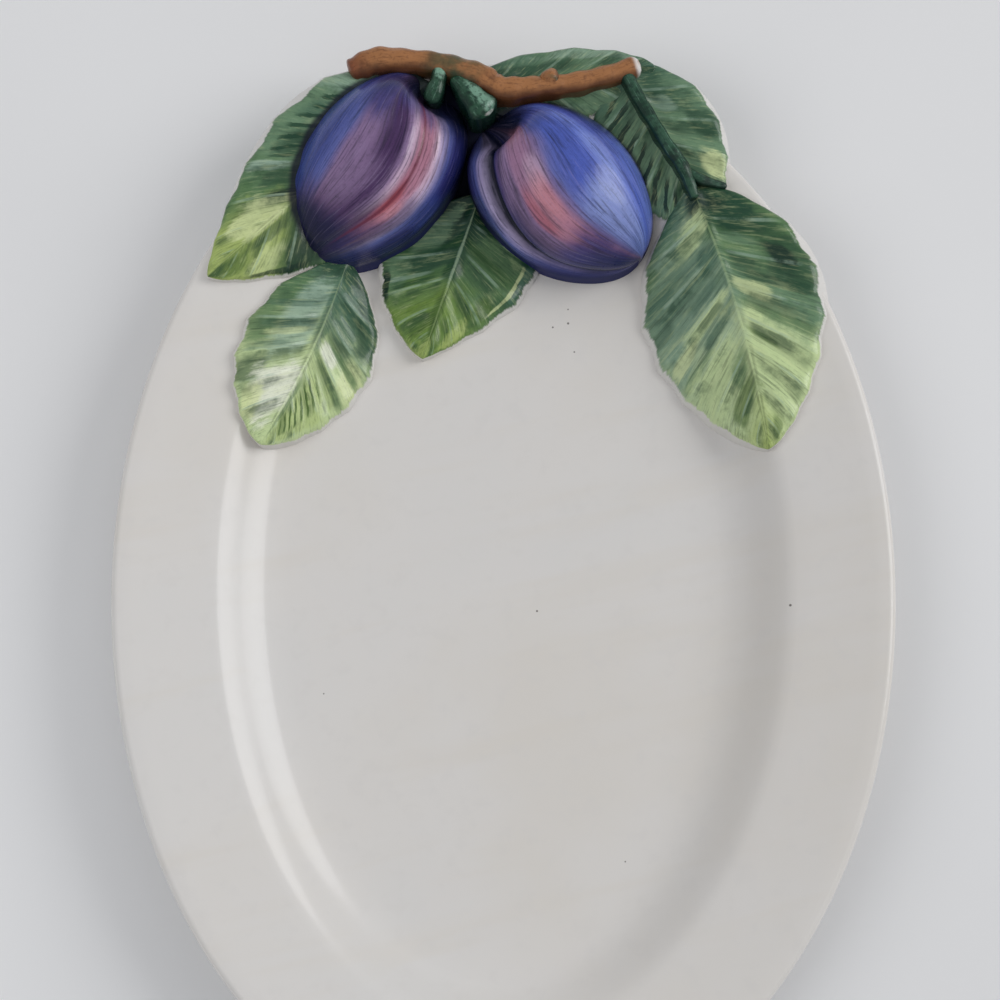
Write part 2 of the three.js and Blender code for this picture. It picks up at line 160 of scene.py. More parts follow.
LEAVES = (
    Leaf(
        "leaf_upper_left", (-25, 170), (-99.5, 101), 0, 0.6, 7,
        LeafSide(27, 0.42, 0.75), LeafSide(27, 0.37, 0.78),
        (
            (0.0, "leaf_soft"), (0.35, "leaf_soft"), (0.55, "leaf_green"), (0.68, "leaf_light"),
            (1.0, "leaf_light"),
        ),
        (
            Stroke((0.05, 0.16), (-1.0, -0.5), "leaf_mist", 0.5),
            Stroke((0.2, 0.26), (-0.85, -0.4), "leaf_teal", 0.6),
            Stroke((0.31, 0.4), (-0.72, -0.2), "leaf_dark", 0.65),
            Stroke((0.42, 0.455), (-0.95, -0.45), "leaf_mist", 0.75),
            Stroke((0.45, 0.52), (-0.6, -0.2), "leaf_dark", 0.6),
            Stroke((0.54, 0.62), (-0.38, 0.03), "leaf_deep", 0.9),
            Stroke((0.58, 0.77), (-0.62, -0.03), "leaf_pale", 0.75),
            Stroke((0.46, 0.6), (0.1, 1.0), "leaf_deep", 0.8),
            Stroke((0.61, 0.74), (0.35, 0.9), "leaf_pale", 0.5),
            Stroke((0.62, 0.8), (0.06, 0.26), "leaf_dark", 0.6),
            Stroke((0.66, 0.82), (-0.1, 0.05), "leaf_pale", 0.75),
            Stroke((0.78, 1.02), (0.02, 0.85), "leaf_olive", 0.75),
            Stroke((0.9, 1.02), (0.05, 0.7), "leaf_dark", 0.6),
            Stroke((0.52, 0.72), (0.84, 0.95), "leaf_deep", 0.8),
        ),
        ((0.12, 0.42), (-0.78, -0.4), 8, "leaf_dark"),
    ),
    Leaf(
        "leaf_lower_left", (-53, 109.5), (-81.6, 45), 2, 0.8, 7,
        LeafSide(20.2, 0.47, 0.73), LeafSide(23.4, 0.52, 0.62),
        ((0.0, "leaf_teal"), (0.16, "leaf_soft"), (0.42, "leaf_wash"), (1.0, "leaf_wash")),
        (
            Stroke((-0.05, 0.09), (-1.0, 1.0), "leaf_dark", 0.75),
            Stroke((0.1, 0.4), (-1.0, -0.58), "leaf_green", 0.75),
            Stroke((0.12, 0.48), (-0.6, -0.06), "leaf_mist", 0.75),
            Stroke((0.2, 0.23), (-0.9, -0.15), "leaf_teal", 0.6),
            Stroke((0.33, 0.36), (-0.7, -0.15), "leaf_pale", 0.5),
            Stroke((0.29, 0.33), (-0.8, -0.1), "leaf_teal", 0.5),
            Stroke((0.39, 0.43), (-0.85, -0.35), "leaf_teal", 0.5),
            Stroke((0.46, 0.58), (-0.98, -0.5), "leaf_dark", 0.7),
            Stroke((0.52, 0.84), (-0.66, 0.03), "leaf_cream", 0.95),
            Stroke((0.6, 0.78), (-0.9, -0.4), "leaf_pale", 0.8),
            Stroke((0.08, 0.34), (0.1, 0.62), "leaf_teal", 0.7),
            Stroke((0.05, 0.27), (0.55, 1.0), "leaf_dark", 0.75),
            Stroke((0.3, 0.43), (0.55, 1.0), "leaf_pale", 0.65),
            Stroke((0.12, 0.45), (-0.1, 0.1), "leaf_teal", 0.7),
            Stroke((0.36, 0.43), (0.1, 0.42), "leaf_cream", 0.85),
            Stroke((0.335, 0.365), (0.12, 0.95), "leaf_green", 0.75),
            Stroke((0.44, 0.475), (0.1, 0.95), "leaf_green", 0.7),
            Stroke((0.48, 0.92), (0.1, 0.8), "leaf_light", 0.5),
            Stroke((0.6, 0.9), (0.03, 0.1), "leaf_green", 0.6),
            Stroke((0.78, 0.84), (0.05, 0.5), "leaf_olive", 0.5),
        ),
        ((0.5, 0.84), (0.12, 0.55), 8, "leaf_olive"),
    ),
    Leaf(
        "leaf_middle", (-8, 134), (-27.7, 76.5), 0, 1, 6,
        LeafSide(26.7, 0.34, 0.92), LeafSide(25, 0.5, 0.7),
        (
            (0.0, "leaf_deep"), (0.22, "leaf_dark"), (0.44, "leaf_green"), (0.62, "leaf_spring"),
            (1.0, "leaf_spring"),
        ),
        (
            Stroke((0.08, 0.32), (-0.7, -0.3), "leaf_soft", 0.75),
            Stroke((0.3, 0.42), (-0.62, -0.1), "leaf_dark", 0.8),
            Stroke((0.33, 0.5), (-0.9, -0.6), "leaf_soft", 0.5),
            Stroke((0.42, 0.445), (-0.85, -0.3), "leaf_mist", 0.5),
            Stroke((0.46, 0.49), (-0.8, -0.2), "leaf_dark", 0.6),
            Stroke((0.38, 0.52), (-0.97, -0.86), "leaf_deep", 0.95),
            Stroke((0.68, 0.8), (-0.65, 0.05), "leaf_olive", 0.75),
            Stroke((0.78, 0.95), (-0.95, -0.6), "leaf_light", 0.7),
            Stroke((0.17, 0.4), (0.1, 0.9), "leaf_green", 0.85),
            Stroke((0.3, 0.52), (-0.14, 0.1), "leaf_dark", 0.7),
            Stroke((0.6, 0.9), (-0.1, 0.08), "leaf_olive", 0.8),
            Stroke((0.4, 0.5), (0.55, 0.9), "leaf_olive", 0.85),
            Stroke((0.5, 0.56), (0.2, 0.7), "leaf_olive", 0.7),
            Stroke((0.57, 0.76), (0.5, 0.9), "leaf_light", 0.8),
            Stroke((0.76, 0.9), (0.02, 0.6), "leaf_olive", 0.6),
            Stroke((0.15, 0.36), (0.86, 0.96), "leaf_teal", 0.85),
            Stroke((0.2, 0.46), (0.82, 0.87), "leaf_pale", 0.7),
            Stroke((0.14, 0.55), (-0.025, 0.02), "leaf_mist", 0.45),
            Stroke((0.88, 1.05), (-1.0, 1.0), "leaf_light", 0.7),
        ),
    ),
    Leaf(
        "leaf_right", (63.5, 133), (88.5, 42.8), 3, 0.8, 8,
        LeafSide(30, 0.43, 0.65), LeafSide(29.4, 0.47, 0.8),
        (
            (0.0, "leaf_dark"), (0.18, "leaf_green"), (0.38, "leaf_soft"), (0.5, "leaf_wash"),
            (0.75, "leaf_wash"), (1.0, "leaf_light"),
        ),
        (
            Stroke((0.03, 0.68), (-1.0, -0.04), "leaf_mist", 0.45),
            Stroke((-0.05, 0.17), (-0.08, 0.85), "leaf_dark", 0.95),
            Stroke((-0.05, 0.08), (-0.4, 0.4), "leaf_deep", 0.85),
            Stroke((0.17, 0.21), (0.08, 0.5), "leaf_soft", 0.7),
            Stroke((0.16, 0.32), (0.5, 0.95), "leaf_dark", 0.7),
            Stroke((0.19, 0.27), (0.55, 0.78), "leaf_deep", 0.9),
            Stroke((0.3, 0.335), (0.15, 0.95), "leaf_dark", 0.65),
            Stroke((0.345, 0.4), (0.04, 0.42), "leaf_pale", 0.6),
            Stroke((0.42, 0.46), (0.08, 0.95), "leaf_green", 0.6),
            Stroke((0.53, 0.555), (0.08, 0.4), "leaf_olive", 0.7),
            Stroke((0.82, 0.92), (0.25, 0.62), "leaf_olive", 0.6),
            Stroke((0.02, 0.1), (-0.95, -0.5), "leaf_teal", 0.5),
            Stroke((0.1, 0.18), (-0.55, -0.06), "leaf_wash", 0.75),
            Stroke((0.19, 0.3), (-0.95, -0.3), "leaf_teal", 0.4),
            Stroke((0.21, 0.29), (-0.3, -0.03), "leaf_teal", 0.7),
            Stroke((0.2, 0.25), (-0.95, -0.62), "leaf_teal", 0.5),
            Stroke((0.29, 0.33), (-0.98, -0.7), "leaf_dark", 0.45),
            Stroke((0.31, 0.35), (-0.5, -0.1), "leaf_teal", 0.5),
            Stroke((0.365, 0.42), (-0.6, -0.1), "leaf_wash", 0.8),
            Stroke((0.4, 0.44), (-0.92, -0.5), "leaf_pale", 0.6),
            Stroke((0.44, 0.48), (-0.45, -0.08), "leaf_teal", 0.7),
            Stroke((0.47, 0.5), (-0.9, -0.4), "leaf_green", 0.5),
            Stroke((0.5, 0.68), (-0.92, -0.2), "leaf_wash", 0.8),
            Stroke((0.6, 0.7), (-0.32, -0.04), "leaf_green", 0.7),
            Stroke((0.69, 0.79), (-0.6, 0.0), "leaf_olive", 0.75),
        ),
    ),
    Leaf(
        "leaf_upper_right", (41, 176), (70, 121), 0, 0, 6,
        LeafSide(20.2, 0.46, 0.58), LeafSide(24, 0.44, 0.7),
        ((0.0, "leaf_teal"), (0.3, "leaf_soft"), (0.62, "leaf_soft"), (0.8, "leaf_dark")),
        (
            Stroke((0.0, 0.3), (0.08, 0.7), "leaf_dark", 0.6),
            Stroke((0.1, 0.24), (0.5, 0.95), "leaf_soft", 0.5),
            Stroke((0.28, 0.42), (0.5, 0.97), "leaf_dark", 0.75),
            Stroke((0.2, 0.28), (0.12, 0.45), "leaf_mist", 0.4),
            Stroke((0.5, 0.65), (0.45, 0.97), "leaf_pale", 0.75),
            Stroke((0.6, 0.8), (0.05, 0.5), "leaf_dark", 0.7),
        ),
        ((0.04, 0.84), (-0.8, -0.26), 11, "leaf_deep"),
    ),
    Leaf(
        "leaf_behind", (-17, 168.5), (52, 175), 0, 0, 5,
        LeafSide(11, 0.52, 0.54), LeafSide(15, 0.5, 0.7),
        ((0.0, "leaf_teal"), (0.5, "leaf_soft"), (1.0, "leaf_teal")),
        (
            Stroke((0.1, 0.5), (0.1, 0.55), "leaf_dark", 0.7),
            Stroke((0.3, 0.75), (0.6, 0.9), "leaf_mist", 0.5),
            Stroke((0.0, 0.4), (-1.0, -0.1), "leaf_deep", 0.85),
            Stroke((0.4, 0.86), (-1.0, -0.3), "leaf_soft", 0.6),
            Stroke((0.88, 1.05), (-1.0, 0.2), "leaf_dark", 0.8),
        ),
    ),
)

PLUMS = (
    Plum(
        "plum_left", (-42.8, 142), 233, 37.4, 26.3, Crease(0.2, -36, 39), Pit(-0.87, -15),
        (
            (-90, "plum_night"), (-76, "plum_navy"), (-64, "plum_indigo"), (-57, "plum_steel"),
            (-50, "plum_lilac"), (-45, "plum_pale"), (-40, "plum_rose"), (-30, "plum_rose"),
            (-25, "plum_pale"), (-19, "plum_mauve"), (-14, "plum_purple"), (-6, "plum_purple"),
            (3, "plum_mauve"), (13, "plum_mauve"), (21, "plum_steel"), (34, "plum_blue"),
            (58, "plum_blue"), (74, "plum_navy"), (90, "plum_night"),
        ),
        (
            Stroke((0.16, 0.75), (-53, -42), "plum_dusk", 0.8),
            Stroke((0.3, 0.75), (-30, -18), "plum_dusk", 0.6),
            Stroke((0.1, 0.56), (-38, -31), "plum_red", 0.75),
            Stroke((0.25, 0.52), (-43, -37), "plum_salmon", 0.6),
            Stroke((-0.25, 0.12), (-16, -2), "plum_purple", 0.75),
            Stroke((0.12, 0.8), (-9, 14), "plum_mauve", 0.7),
            Stroke((-0.05, 0.32), (-76, -58), "plum_blue", 0.7),
            Stroke((-0.85, -0.22), (-4, 27), "plum_indigo", 0.85),
            Stroke((-0.8, -0.48), (2, 27), "plum_navy", 0.7),
            Stroke((-0.8, -0.55), (24, 60), "plum_navy", 0.6),
            Stroke((0.5, 1.1), (-50, -14), "plum_purple", 0.85),
            Stroke((0.57, 1.05), (-16, 44), "plum_purple", 0.7),
            Stroke((0.7, 1.1), (-95, 95), "plum_navy", 0.85),
            Stroke((0.7, 1.1), (-34, 50), "plum_night", 0.65),
            Stroke((0.88, 1.2), (-95, 95), "plum_night", 0.6),
            Stroke((-0.95, -0.48), (-52, 4), "plum_indigo", 0.75),
            Stroke((-1.2, -0.6), (-95, -44), "plum_night", 0.8),
            Stroke((-1.1, -0.66), (-44, 14), "plum_night", 0.95),
            Stroke((-1.2, -0.84), (-95, 95), "plum_night", 0.9),
        ),
    ),
    Plum(
        "plum_right", (19.1, 134.5), -39, 34.8, 26.5, Crease(0.64, 76, -28), Pit(-0.87, 0),
        (
            (-90, "plum_night"), (-62, "plum_navy"), (-50, "plum_indigo"), (-42, "plum_blue"),
            (-34, "plum_cobalt"), (-28, "plum_sky"), (-16, "plum_cobalt"), (-3, "plum_cobalt"),
            (5, "plum_steel"), (12, "plum_mauve"), (17, "plum_rose"), (32, "plum_rose"), (39, "plum_mauve"),
            (45, "plum_dusk"), (58, "plum_indigo"), (62, "plum_night"), (66, "plum_night"),
            (71, "plum_lilac"), (77, "plum_steel"), (84, "plum_indigo"), (90, "plum_navy"),
        ),
        (
            Stroke((-0.62, -0.1), (8, 50), "plum_mauve", 0.6),
            Stroke((-0.3, 0.0), (10, 24), "plum_pale", 0.5),
            Stroke((-0.12, 0.3), (13, 27), "plum_salmon", 0.6),
            Stroke((-0.1, 0.36), (28, 37), "plum_red", 0.45),
            Stroke((0.1, 1.05), (-66, -36), "plum_sky", 0.75),
            # The plum_sheen strokes are a painted sheen: the window light's reflection on the plum's side
            # towards it.
            Stroke((-0.1, 0.5), (-36, -22), "plum_sheen", 0.45),
            Stroke((0.36, 0.96), (-24, 6), "plum_sheen", 0.75),
            Stroke((0.5, 1.1), (10, 62), "plum_indigo", 0.9),
            Stroke((0.3, 1.1), (60, 95), "plum_indigo", 0.7),
            Stroke((0.69, 1.1), (22, 80), "plum_navy", 0.9),
            Stroke((-0.78, -0.44), (-24, 12), "plum_blue", 0.85),
            Stroke((-0.9, -0.2), (-66, -44), "plum_night", 0.7),
            Stroke((-1.1, -0.72), (-34, 30), "plum_night", 0.9),
            Stroke((-1.2, -0.86), (-95, 95), "plum_night", 0.95),
        ),
    ),
)

STEMS = (
    Stem(
        "branch",
        (
            (-53, 173.5, 31), (-43, 177, 32), (-26, 176.3, 32.5), (-10, 171.8, 33),
            (-1, 166.6, 33.5), (13, 167.3, 33), (30, 170, 32.5), (47, 175.5, 32),
        ),
        (4, 4.6, 3.8, 4.5, 4.3, 3.6, 3.5, 3.7),
        0.8,
        "bark",
    ),
    Stem(
        "stalk_left",
        ((-21.5, 174, 33), (-22.5, 168, 34), (-25, 161, 33)),
        (2.6, 2.8, 3.6),
        0.8,
        "stalk",
        # A light patch on its upper part, partly a painted highlight.
        (Stroke((0.0, 0.38), (-0.75, 0.5), "stalk_light", 0.85),),
    ),
    Stem(
        "stalk_right",
        ((-17, 171, 33), (-11, 163.5, 35), (-5, 156, 34)),
        (2.4, 4.2, 6.4),
        0.55,
        "stalk",
        (
            # A light side towards the window, partly a painted highlight, and a thin white line at its end, a
            # painted highlight.
            Stroke((0.3, 1.0), (-0.85, 0.0), "stalk_light", 0.7),
            Stroke((0.93, 0.975), (-0.75, 0.3), "glaze", 0.6),
        ),
    ),
    Stem(
        "leaf_stem",
        ((42, 172, 32), (47, 161.5, 32.5), (54.5, 148.5, 32.5), (61, 138, 32), (65, 128, 31)),
        (2.6, 2.3, 2.3, 2.4, 1.6),
        0.9,
        "stalk",
    ),
    Stem("leaf_stem_fork", ((60, 139, 31.2), (67, 135, 31), (76, 132.8, 29.6)), (2, 1.7, 0.9), 0.7, "stalk"),
    Stem("bud", ((15, 167, 33.5), (16.2, 170.5, 34.5), (17.2, 173.4, 34)), (3.8, 3.2, 1.2), 0.8, "bark"),
)

# Specks in the glaze: across and along the dish, and their radius, in millimetres in the CAD's frame
SPECKS = (
    (22.4, 92.7, 0.35), (22.4, 87.7, 0.5), (17.1, 86.3, 0.4), (24.5, 77.5, 0.4),
    (11.3, -12.3, 0.5), (94.7, -11.7, 0.5), (-60, -40, 0.3), (40, -95, 0.35),
)

# Painted places on the branch: its curled knot, and a painted highlight at its right end, in millimetres in
# the CAD's frame
KNOT = (26.1, 167.1)
PAINTED_GLINT_END = (30, 40)

# Painted shade between the plums and beside them, in millimetres in the CAD's frame
PAINTED_SHADE_MIDDLE = -11
PAINTED_SHADE_SIDES = (16, 12)
PAINTED_SHADE_START = (108, 118)
PAINTED_SHADE_REACH = (6, 12)
LEAF_PAINTED_SHADE_REACH = (-1.6, 0.3)

# Where the upper side of the dish starts, as a share of its section, and where the bare clay of its foot ends
UPPER_SIDE = (0.55, 0.6)
BARE_CLAY = (0.4, 0.7)

# How finely the forms are shaped, with distances in millimetres and the angle in degrees
BODY_STEPS = 192
CURVE_POINTS = 12
UNDERSIDE_STEPS = 6
UNDER_RIM_STEPS = 4
RIM_STEPS = 6
FLOOR_STEPS = 8
LEAF_ROWS_PER_VEIN = 18
LEAF_COLUMNS = 56
PLUM_SEGMENTS = 112
PLUM_RINGS = 64
STEM_SIDES = 28
STEM_STEP = 0.8
MERGE_DISTANCE = 0.0005
SHORTEST_EDGE = 0.0002
SHARP_ANGLE = 48

# Section of the dish, as half widths and heights in millimetres, with the foot's narrowing as a share
UNDER_WALL_HANDLES = ((86, 4.6), (89.5, 14.5))
UNDER_WALL_END = (102, 17.6)
WELL_WALL_START = (97.5, 22.6)
WELL_WALL_HANDLE = (89.5, 21.4)
FLOOR_HANDLE = 86
FLOOR_EDGE = 73
FOOT_EDGE = 0.5
FOOT_NARROWING = 1.6
LIP_DROP = 0.4

# Leaf relief in millimetres, or as shares
COLUMN_CROWDING = 1.4
VEIN_SWEEP = 0.9
MIDRIB_TAPER = 0.6
VEIN_START = 0.25
VEIN_FADE = 6
SCALLOP = 0.03
TOOTH = 0.006
SKIRT = 0.08
EDGE_POWER = 4
TEETH_PER_VEIN = 3
DRAPE_INSIDE = 30
DRAPE_OUTSIDE = 8
EDGE_START = 0.82
EDGE_ROUND = 2.2
EDGE_FADE = 0.3
DEPTH_IN_WELL = 5.2
DEPTH_ON_RIM = 3.2
RIM_RUN = 30
LEAST_RATIO = 0.001

# Plum relief, as shares, in degrees or in millimetres
PLUM_TILT = 0.08
PLUM_SHOULDER = 0.85
FLANK_SHOULDER = 0.2
CREASE_DEPTH = 0.11
CREASE_WIDTH = 7
LOBE_SWELL = 0.03
LOBE_OFFSET = 13
LOBE_WIDTH = 9
TIP_START = 0.5
TIP_POINT = 0.05
TIP_NARROWING = 0.05
PIT_DEPTH = 0.25
PIT_RADIUS = 0.35
FLANK_DROP = 26
FLANK_LEAST = 1

# Stems: how far their curves swing out, and the lumps along and ridges round them as shares of the radius
CURVE_PULL = 0.5
LUMP = 0.05
LUMP_RATE = 0.9
RIDGE = 0.04
RIDGE_NUMBER = 3
RIDGE_TWIST = 0.35
TANGENT_STEP = 0.01
UNDER_STEM = -0.01

# Glaze over all the paint, with its relief in metres, and how soft and how square a brush stroke is
COAT = 0.25
COAT_ROUGHNESS = 0.1
SHINE = 0.3
RELIEF_DEPTH = 0.0006
WEAVE_SCALE = 900
BRUSH_EDGE = 0.3
PATCH_EDGE = 0.5
STROKE_SQUARENESS = 3

# Light that a lit level surface sends back to the camera in the photograph, and the palest paint
LIT_SHARE = 0.8
PALEST = 0.95

# Camera of the photograph, with lengths in millimetres and the elevation in degrees
VIEW_ELEVATION = 80
VIEW_DISTANCE = 600
VIEW_TARGET = (-1.15, 25.33, 26)
LENS = 65.23
SENSOR = 36

# Lights, with places and widths in metres and power in watts, and the table
LAMPS = (
    Lamp("window", (2.2, 0.6, 1.5), (0, 0.02, 0), 1.8, 31, True),
    Lamp("fill", (-0.7, -0.15, 0.85), (0, 0, 0), 0.8, 2.8, False),
    Lamp("back", (0.5, 1.6, 1.8), (0, 0.05, 0), 1.4, 3.5, False),
)
SKY = (0.93, 0.95, 1.0, 1)
SKY_LIGHT = 0.35
TABLE_HALF = 3
TABLE_PARTS = 8
TABLE_PALE = (0.91, 0.91, 0.91, 1)
TABLE_GREY = (0.88, 0.88, 0.88, 1)


def length(name, description, millimetres):
    """A size that a user may change."""
    return FloatProperty(
        name=name, description=description, default=millimetres * MM, min=0, unit="LENGTH", precision=4
    )


def linear(level):
    """A screen level from 0 to 255 as light from 0 to 1, by the usual screen curve."""
    share = level / 255
    return share / 12.92 if share <= 0.04045 else ((share + 0.055) / 1.055) ** 2.4


def colour(name, description, red, green, blue):
    """A colour that a user may change, given as it shows on the lit platter."""
    default = [min(PALEST, linear(level) / LIT_SHARE) for level in (red, green, blue)]
    return FloatVectorProperty(
        name=name, description=description, default=default, min=0, max=1, size=3, subtype="COLOR"
    )


class PlatterSizes(bpy.types.PropertyGroup):
    """Sizes of the dish and of the relief on it."""

    rim_half_width: length("Rim half width", "Half the width of the rim oval", CAD_HIGH.x / MM)
    rim_half_length: length("Rim half length", "Half the length of the rim oval", 178.5)
    well_half_width: length("Well half width", "Half the width of the well's upper edge", 92.5)
    well_half_length: length("Well half length", "Half the length of the well's upper edge", 147.4)
    floor_half_width: length("Floor half width", "Half the width of the well's floor", 79)
    floor_half_length: length("Floor half length", "Half the length of the well's floor", 133)
    well_shift: length("Well shift", "How far the well sits towards the fruit", 3)
    foot_height: length("Foot height", "Height of the foot ring", 4)
    foot_outer: length("Foot half width", "Half the width of the foot ring", 75)
    foot_width: length("Foot ring width", "Width of the foot ring's section", 6)
    foot_bevel: length("Foot bevel", "How much the foot ring narrows downwards", 0.8)
    floor_top: length("Floor height", "Height of the floor above the table", 10)
    well_top: length("Well height", "Height of the well's upper edge", 22)
    rim_top: length("Rim height", "Height of the lip above the table", 27.4)
    rim_thickness: length("Rim thickness", "Thickness of the rim and its round lip", 5.4)
    leaf_edge: length("Leaf edge", "Thickness of a leaf at its edge", 2.4)
    leaf_swell: length("Leaf swell", "How much a leaf rises towards its midrib", 1.6)
    midrib_height: length("Midrib height", "How far the midrib stands up", 1.3)
    midrib_width: length("Midrib width", "Half the width of the midrib", 2.2)
    vein_height: length("Vein height", "Height of the ridges along the side veins", 0.9)
    plum_middle: length("Plum middle", "Height of the plums' widest line", 19.5)
    plum_rise: length("Plum rise", "Height of the plums above that line", 26)


class PlatterColours(bpy.types.PropertyGroup):
    """Colours of the glaze and of the painted spray."""

    glaze: colour("Glaze", "Cream-white glaze of the dish", 209, 206, 202)
    biscuit: colour("Biscuit", "Bare clay under the foot", 196, 180, 160)
    speck: colour("Speck", "Tiny dark specks in the glaze", 60, 52, 48)
    leaf_deep: colour("Leaf deep", "Darkest leaf green", 16, 42, 32)
    leaf_dark: colour("Leaf dark", "Dark leaf green", 30, 66, 46)
    leaf_teal: colour("Leaf teal", "Bluish leaf green", 64, 98, 80)
    leaf_olive: colour("Leaf olive", "Brownish leaf green", 74, 102, 44)
    leaf_green: colour("Leaf green", "Middle leaf green", 84, 116, 74)
    leaf_soft: colour("Leaf soft", "Greyed leaf green", 102, 132, 102)
    leaf_spring: colour("Leaf spring", "Fresh leaf green", 110, 138, 66)
    leaf_light: colour("Leaf light", "Yellow-green of the leaf tips", 158, 176, 100)
    leaf_wash: colour("Leaf wash", "Thin green wash", 186, 204, 150)
    leaf_mist: colour("Leaf mist", "Thin bluish wash", 146, 170, 152)
    leaf_pale: colour("Leaf pale", "Thin yellowish wash", 206, 216, 160)
    leaf_cream: colour("Leaf cream", "Nearly bare glaze on the leaves", 222, 228, 206)
    # Also laid as painted shade between and beside the plums and on their flanks.
    plum_night: colour("Plum night", "Near-black blue of the outlines", 10, 14, 34)
    plum_navy: colour("Plum navy", "Dark blue", 26, 32, 84)
    plum_indigo: colour("Plum indigo", "Violet blue", 46, 48, 108)
    plum_blue: colour("Plum blue", "Middle blue", 56, 70, 138)
    plum_cobalt: colour("Plum cobalt", "Bright blue", 70, 88, 170)
    plum_sky: colour("Plum sky", "Light blue", 100, 120, 200)
    plum_steel: colour("Plum steel", "Greyed blue", 90, 98, 160)
    # Used as a painted sheen of the window light on the right plum.
    plum_sheen: colour("Plum sheen", "Pale blue painted sheen", 136, 150, 202)
    plum_purple: colour("Plum purple", "Dark purple", 68, 44, 84)
    plum_dusk: colour("Plum dusk", "Greyed dark purple", 94, 78, 108)
    plum_mauve: colour("Plum mauve", "Greyed purple", 128, 104, 140)
    plum_lilac: colour("Plum lilac", "Light purple", 168, 156, 192)
    plum_pale: colour("Plum pale", "Pale pink ridge", 192, 164, 186)
    plum_rose: colour("Plum rose", "Pink", 174, 122, 142)
    plum_salmon: colour("Plum salmon", "Warm pink", 192, 128, 136)
    plum_red: colour("Plum red", "Red beside the crease", 160, 70, 76)
    plum_wine: colour("Plum wine", "Dark red in the crease", 100, 34, 54)
    bark_light: colour("Bark light", "Orange-brown of the branch", 156, 106, 66)
    bark_dark: colour("Bark dark", "Dark brown of the branch", 84, 50, 30)
    bark_red: colour("Bark red", "Reddish brown of the branch's cut end", 116, 64, 42)
    stalk_deep: colour("Stalk deep", "Dark green of the stalks", 20, 42, 34)
    stalk_light: colour("Stalk light", "Light green on the stalks", 126, 166, 144)


class Shade:
    """A socket of a material's nodes that can stand in a Python expression."""

    def __init__(self, tree, socket=None):
        self.tree = tree
        self.socket = socket

    def node(self, kind, settings, sockets, output=0):
        """Adds a node, sets its settings, then sets or links its sockets, and gives one of its outputs."""
        node = self.tree.nodes.new(kind)
        for name, setting in settings.items():
            if name == "stops":
                self.set_stops(node.color_ramp, setting)
            else:
                setattr(node, name, setting)
        for name, given in sockets.items():
            if isinstance(given, Shade):
                self.tree.links.new(given.socket, node.inputs[name])
            else:
                node.inputs[name].default_value = given
        return Shade(self.tree, node.outputs[output] if node.outputs else None)

    @staticmethod
    def set_stops(ramp, stops):
        """Gives a ramp its stops, each a place from 0 to 1 and a colour, in order."""
        ramp.elements.remove(ramp.elements[1])
        ramp.elements[0].position, ramp.elements[0].color = stops[0]
        for position, tint in stops[1:]:
            ramp.elements.new(position).color = tint

    def flat(self, tint):
        """One colour everywhere, to lay others over."""
        shade = self.node("ShaderNodeRGB", {}, {})
        shade.socket.default_value = tint
        return shade

    def output(self, name):
        """Another output of the same node."""
        return Shade(self.tree, self.socket.node.outputs[name])

    def maths(self, operation, *values):
        """A Math node on these values."""
        return self.node("ShaderNodeMath", {"operation": operation}, dict(enumerate(values)))

    def __add__(self, other):
        return self.maths("ADD", self, other)

    def __radd__(self, other):
        return self.maths("ADD", other, self)

    def __sub__(self, other):
        return self.maths("SUBTRACT", self, other)

    def __rsub__(self, other):
        return self.maths("SUBTRACT", other, self)

    def __mul__(self, other):
        return self.maths("MULTIPLY", self, other)

    def __rmul__(self, other):
        return self.maths("MULTIPLY", other, self)

    def __truediv__(self, other):
        return self.maths("DIVIDE", self, other)

    def __rtruediv__(self, other):
        return self.maths("DIVIDE", other, self)

    def __pow__(self, other):
        return self.maths("POWER", self, other)

    def __rpow__(self, other):
        return self.maths("POWER", other, self)

    def __abs__(self):
        return self.maths("ABSOLUTE", self)

    def cosine(self):
        """Cosine of an angle in radians."""
        return self.maths("COSINE", self)

    def fraction(self):
        """What is left above a whole number."""
        return self.maths("FRACT", self)

    def lowest(self, other):
        """The lower of two values."""
        return self.maths("MINIMUM", self, other)

    def smooth(self, low, high):
        """A soft step from 0 at low to 1 at high."""
        sockets = {"Value": self, "From Min": low, "From Max": high}
        return self.node("ShaderNodeMapRange", {"interpolation_type": "SMOOTHSTEP"}, sockets)

    def over(self, tint, cover):
        """This colour with another laid over it."""
        settings = {"data_type": "RGBA", "blend_type": "MIX"}
        return self.node("ShaderNodeMix", settings, {0: cover, 6: self, 7: tint}, 2)

    def vector(self, x, y, z):
        """Three values as a vector."""
        return self.node("ShaderNodeCombineXYZ", {}, {0: x, 1: y, 2: z})

    def noise(self, place, scale, detail=3.0, roughness=0.55):
        """Soft noise around a half."""
        sockets = {"Vector": place, "Scale": scale, "Detail": detail, "Roughness": roughness}
        return self.node("ShaderNodeTexNoise", {}, sockets)


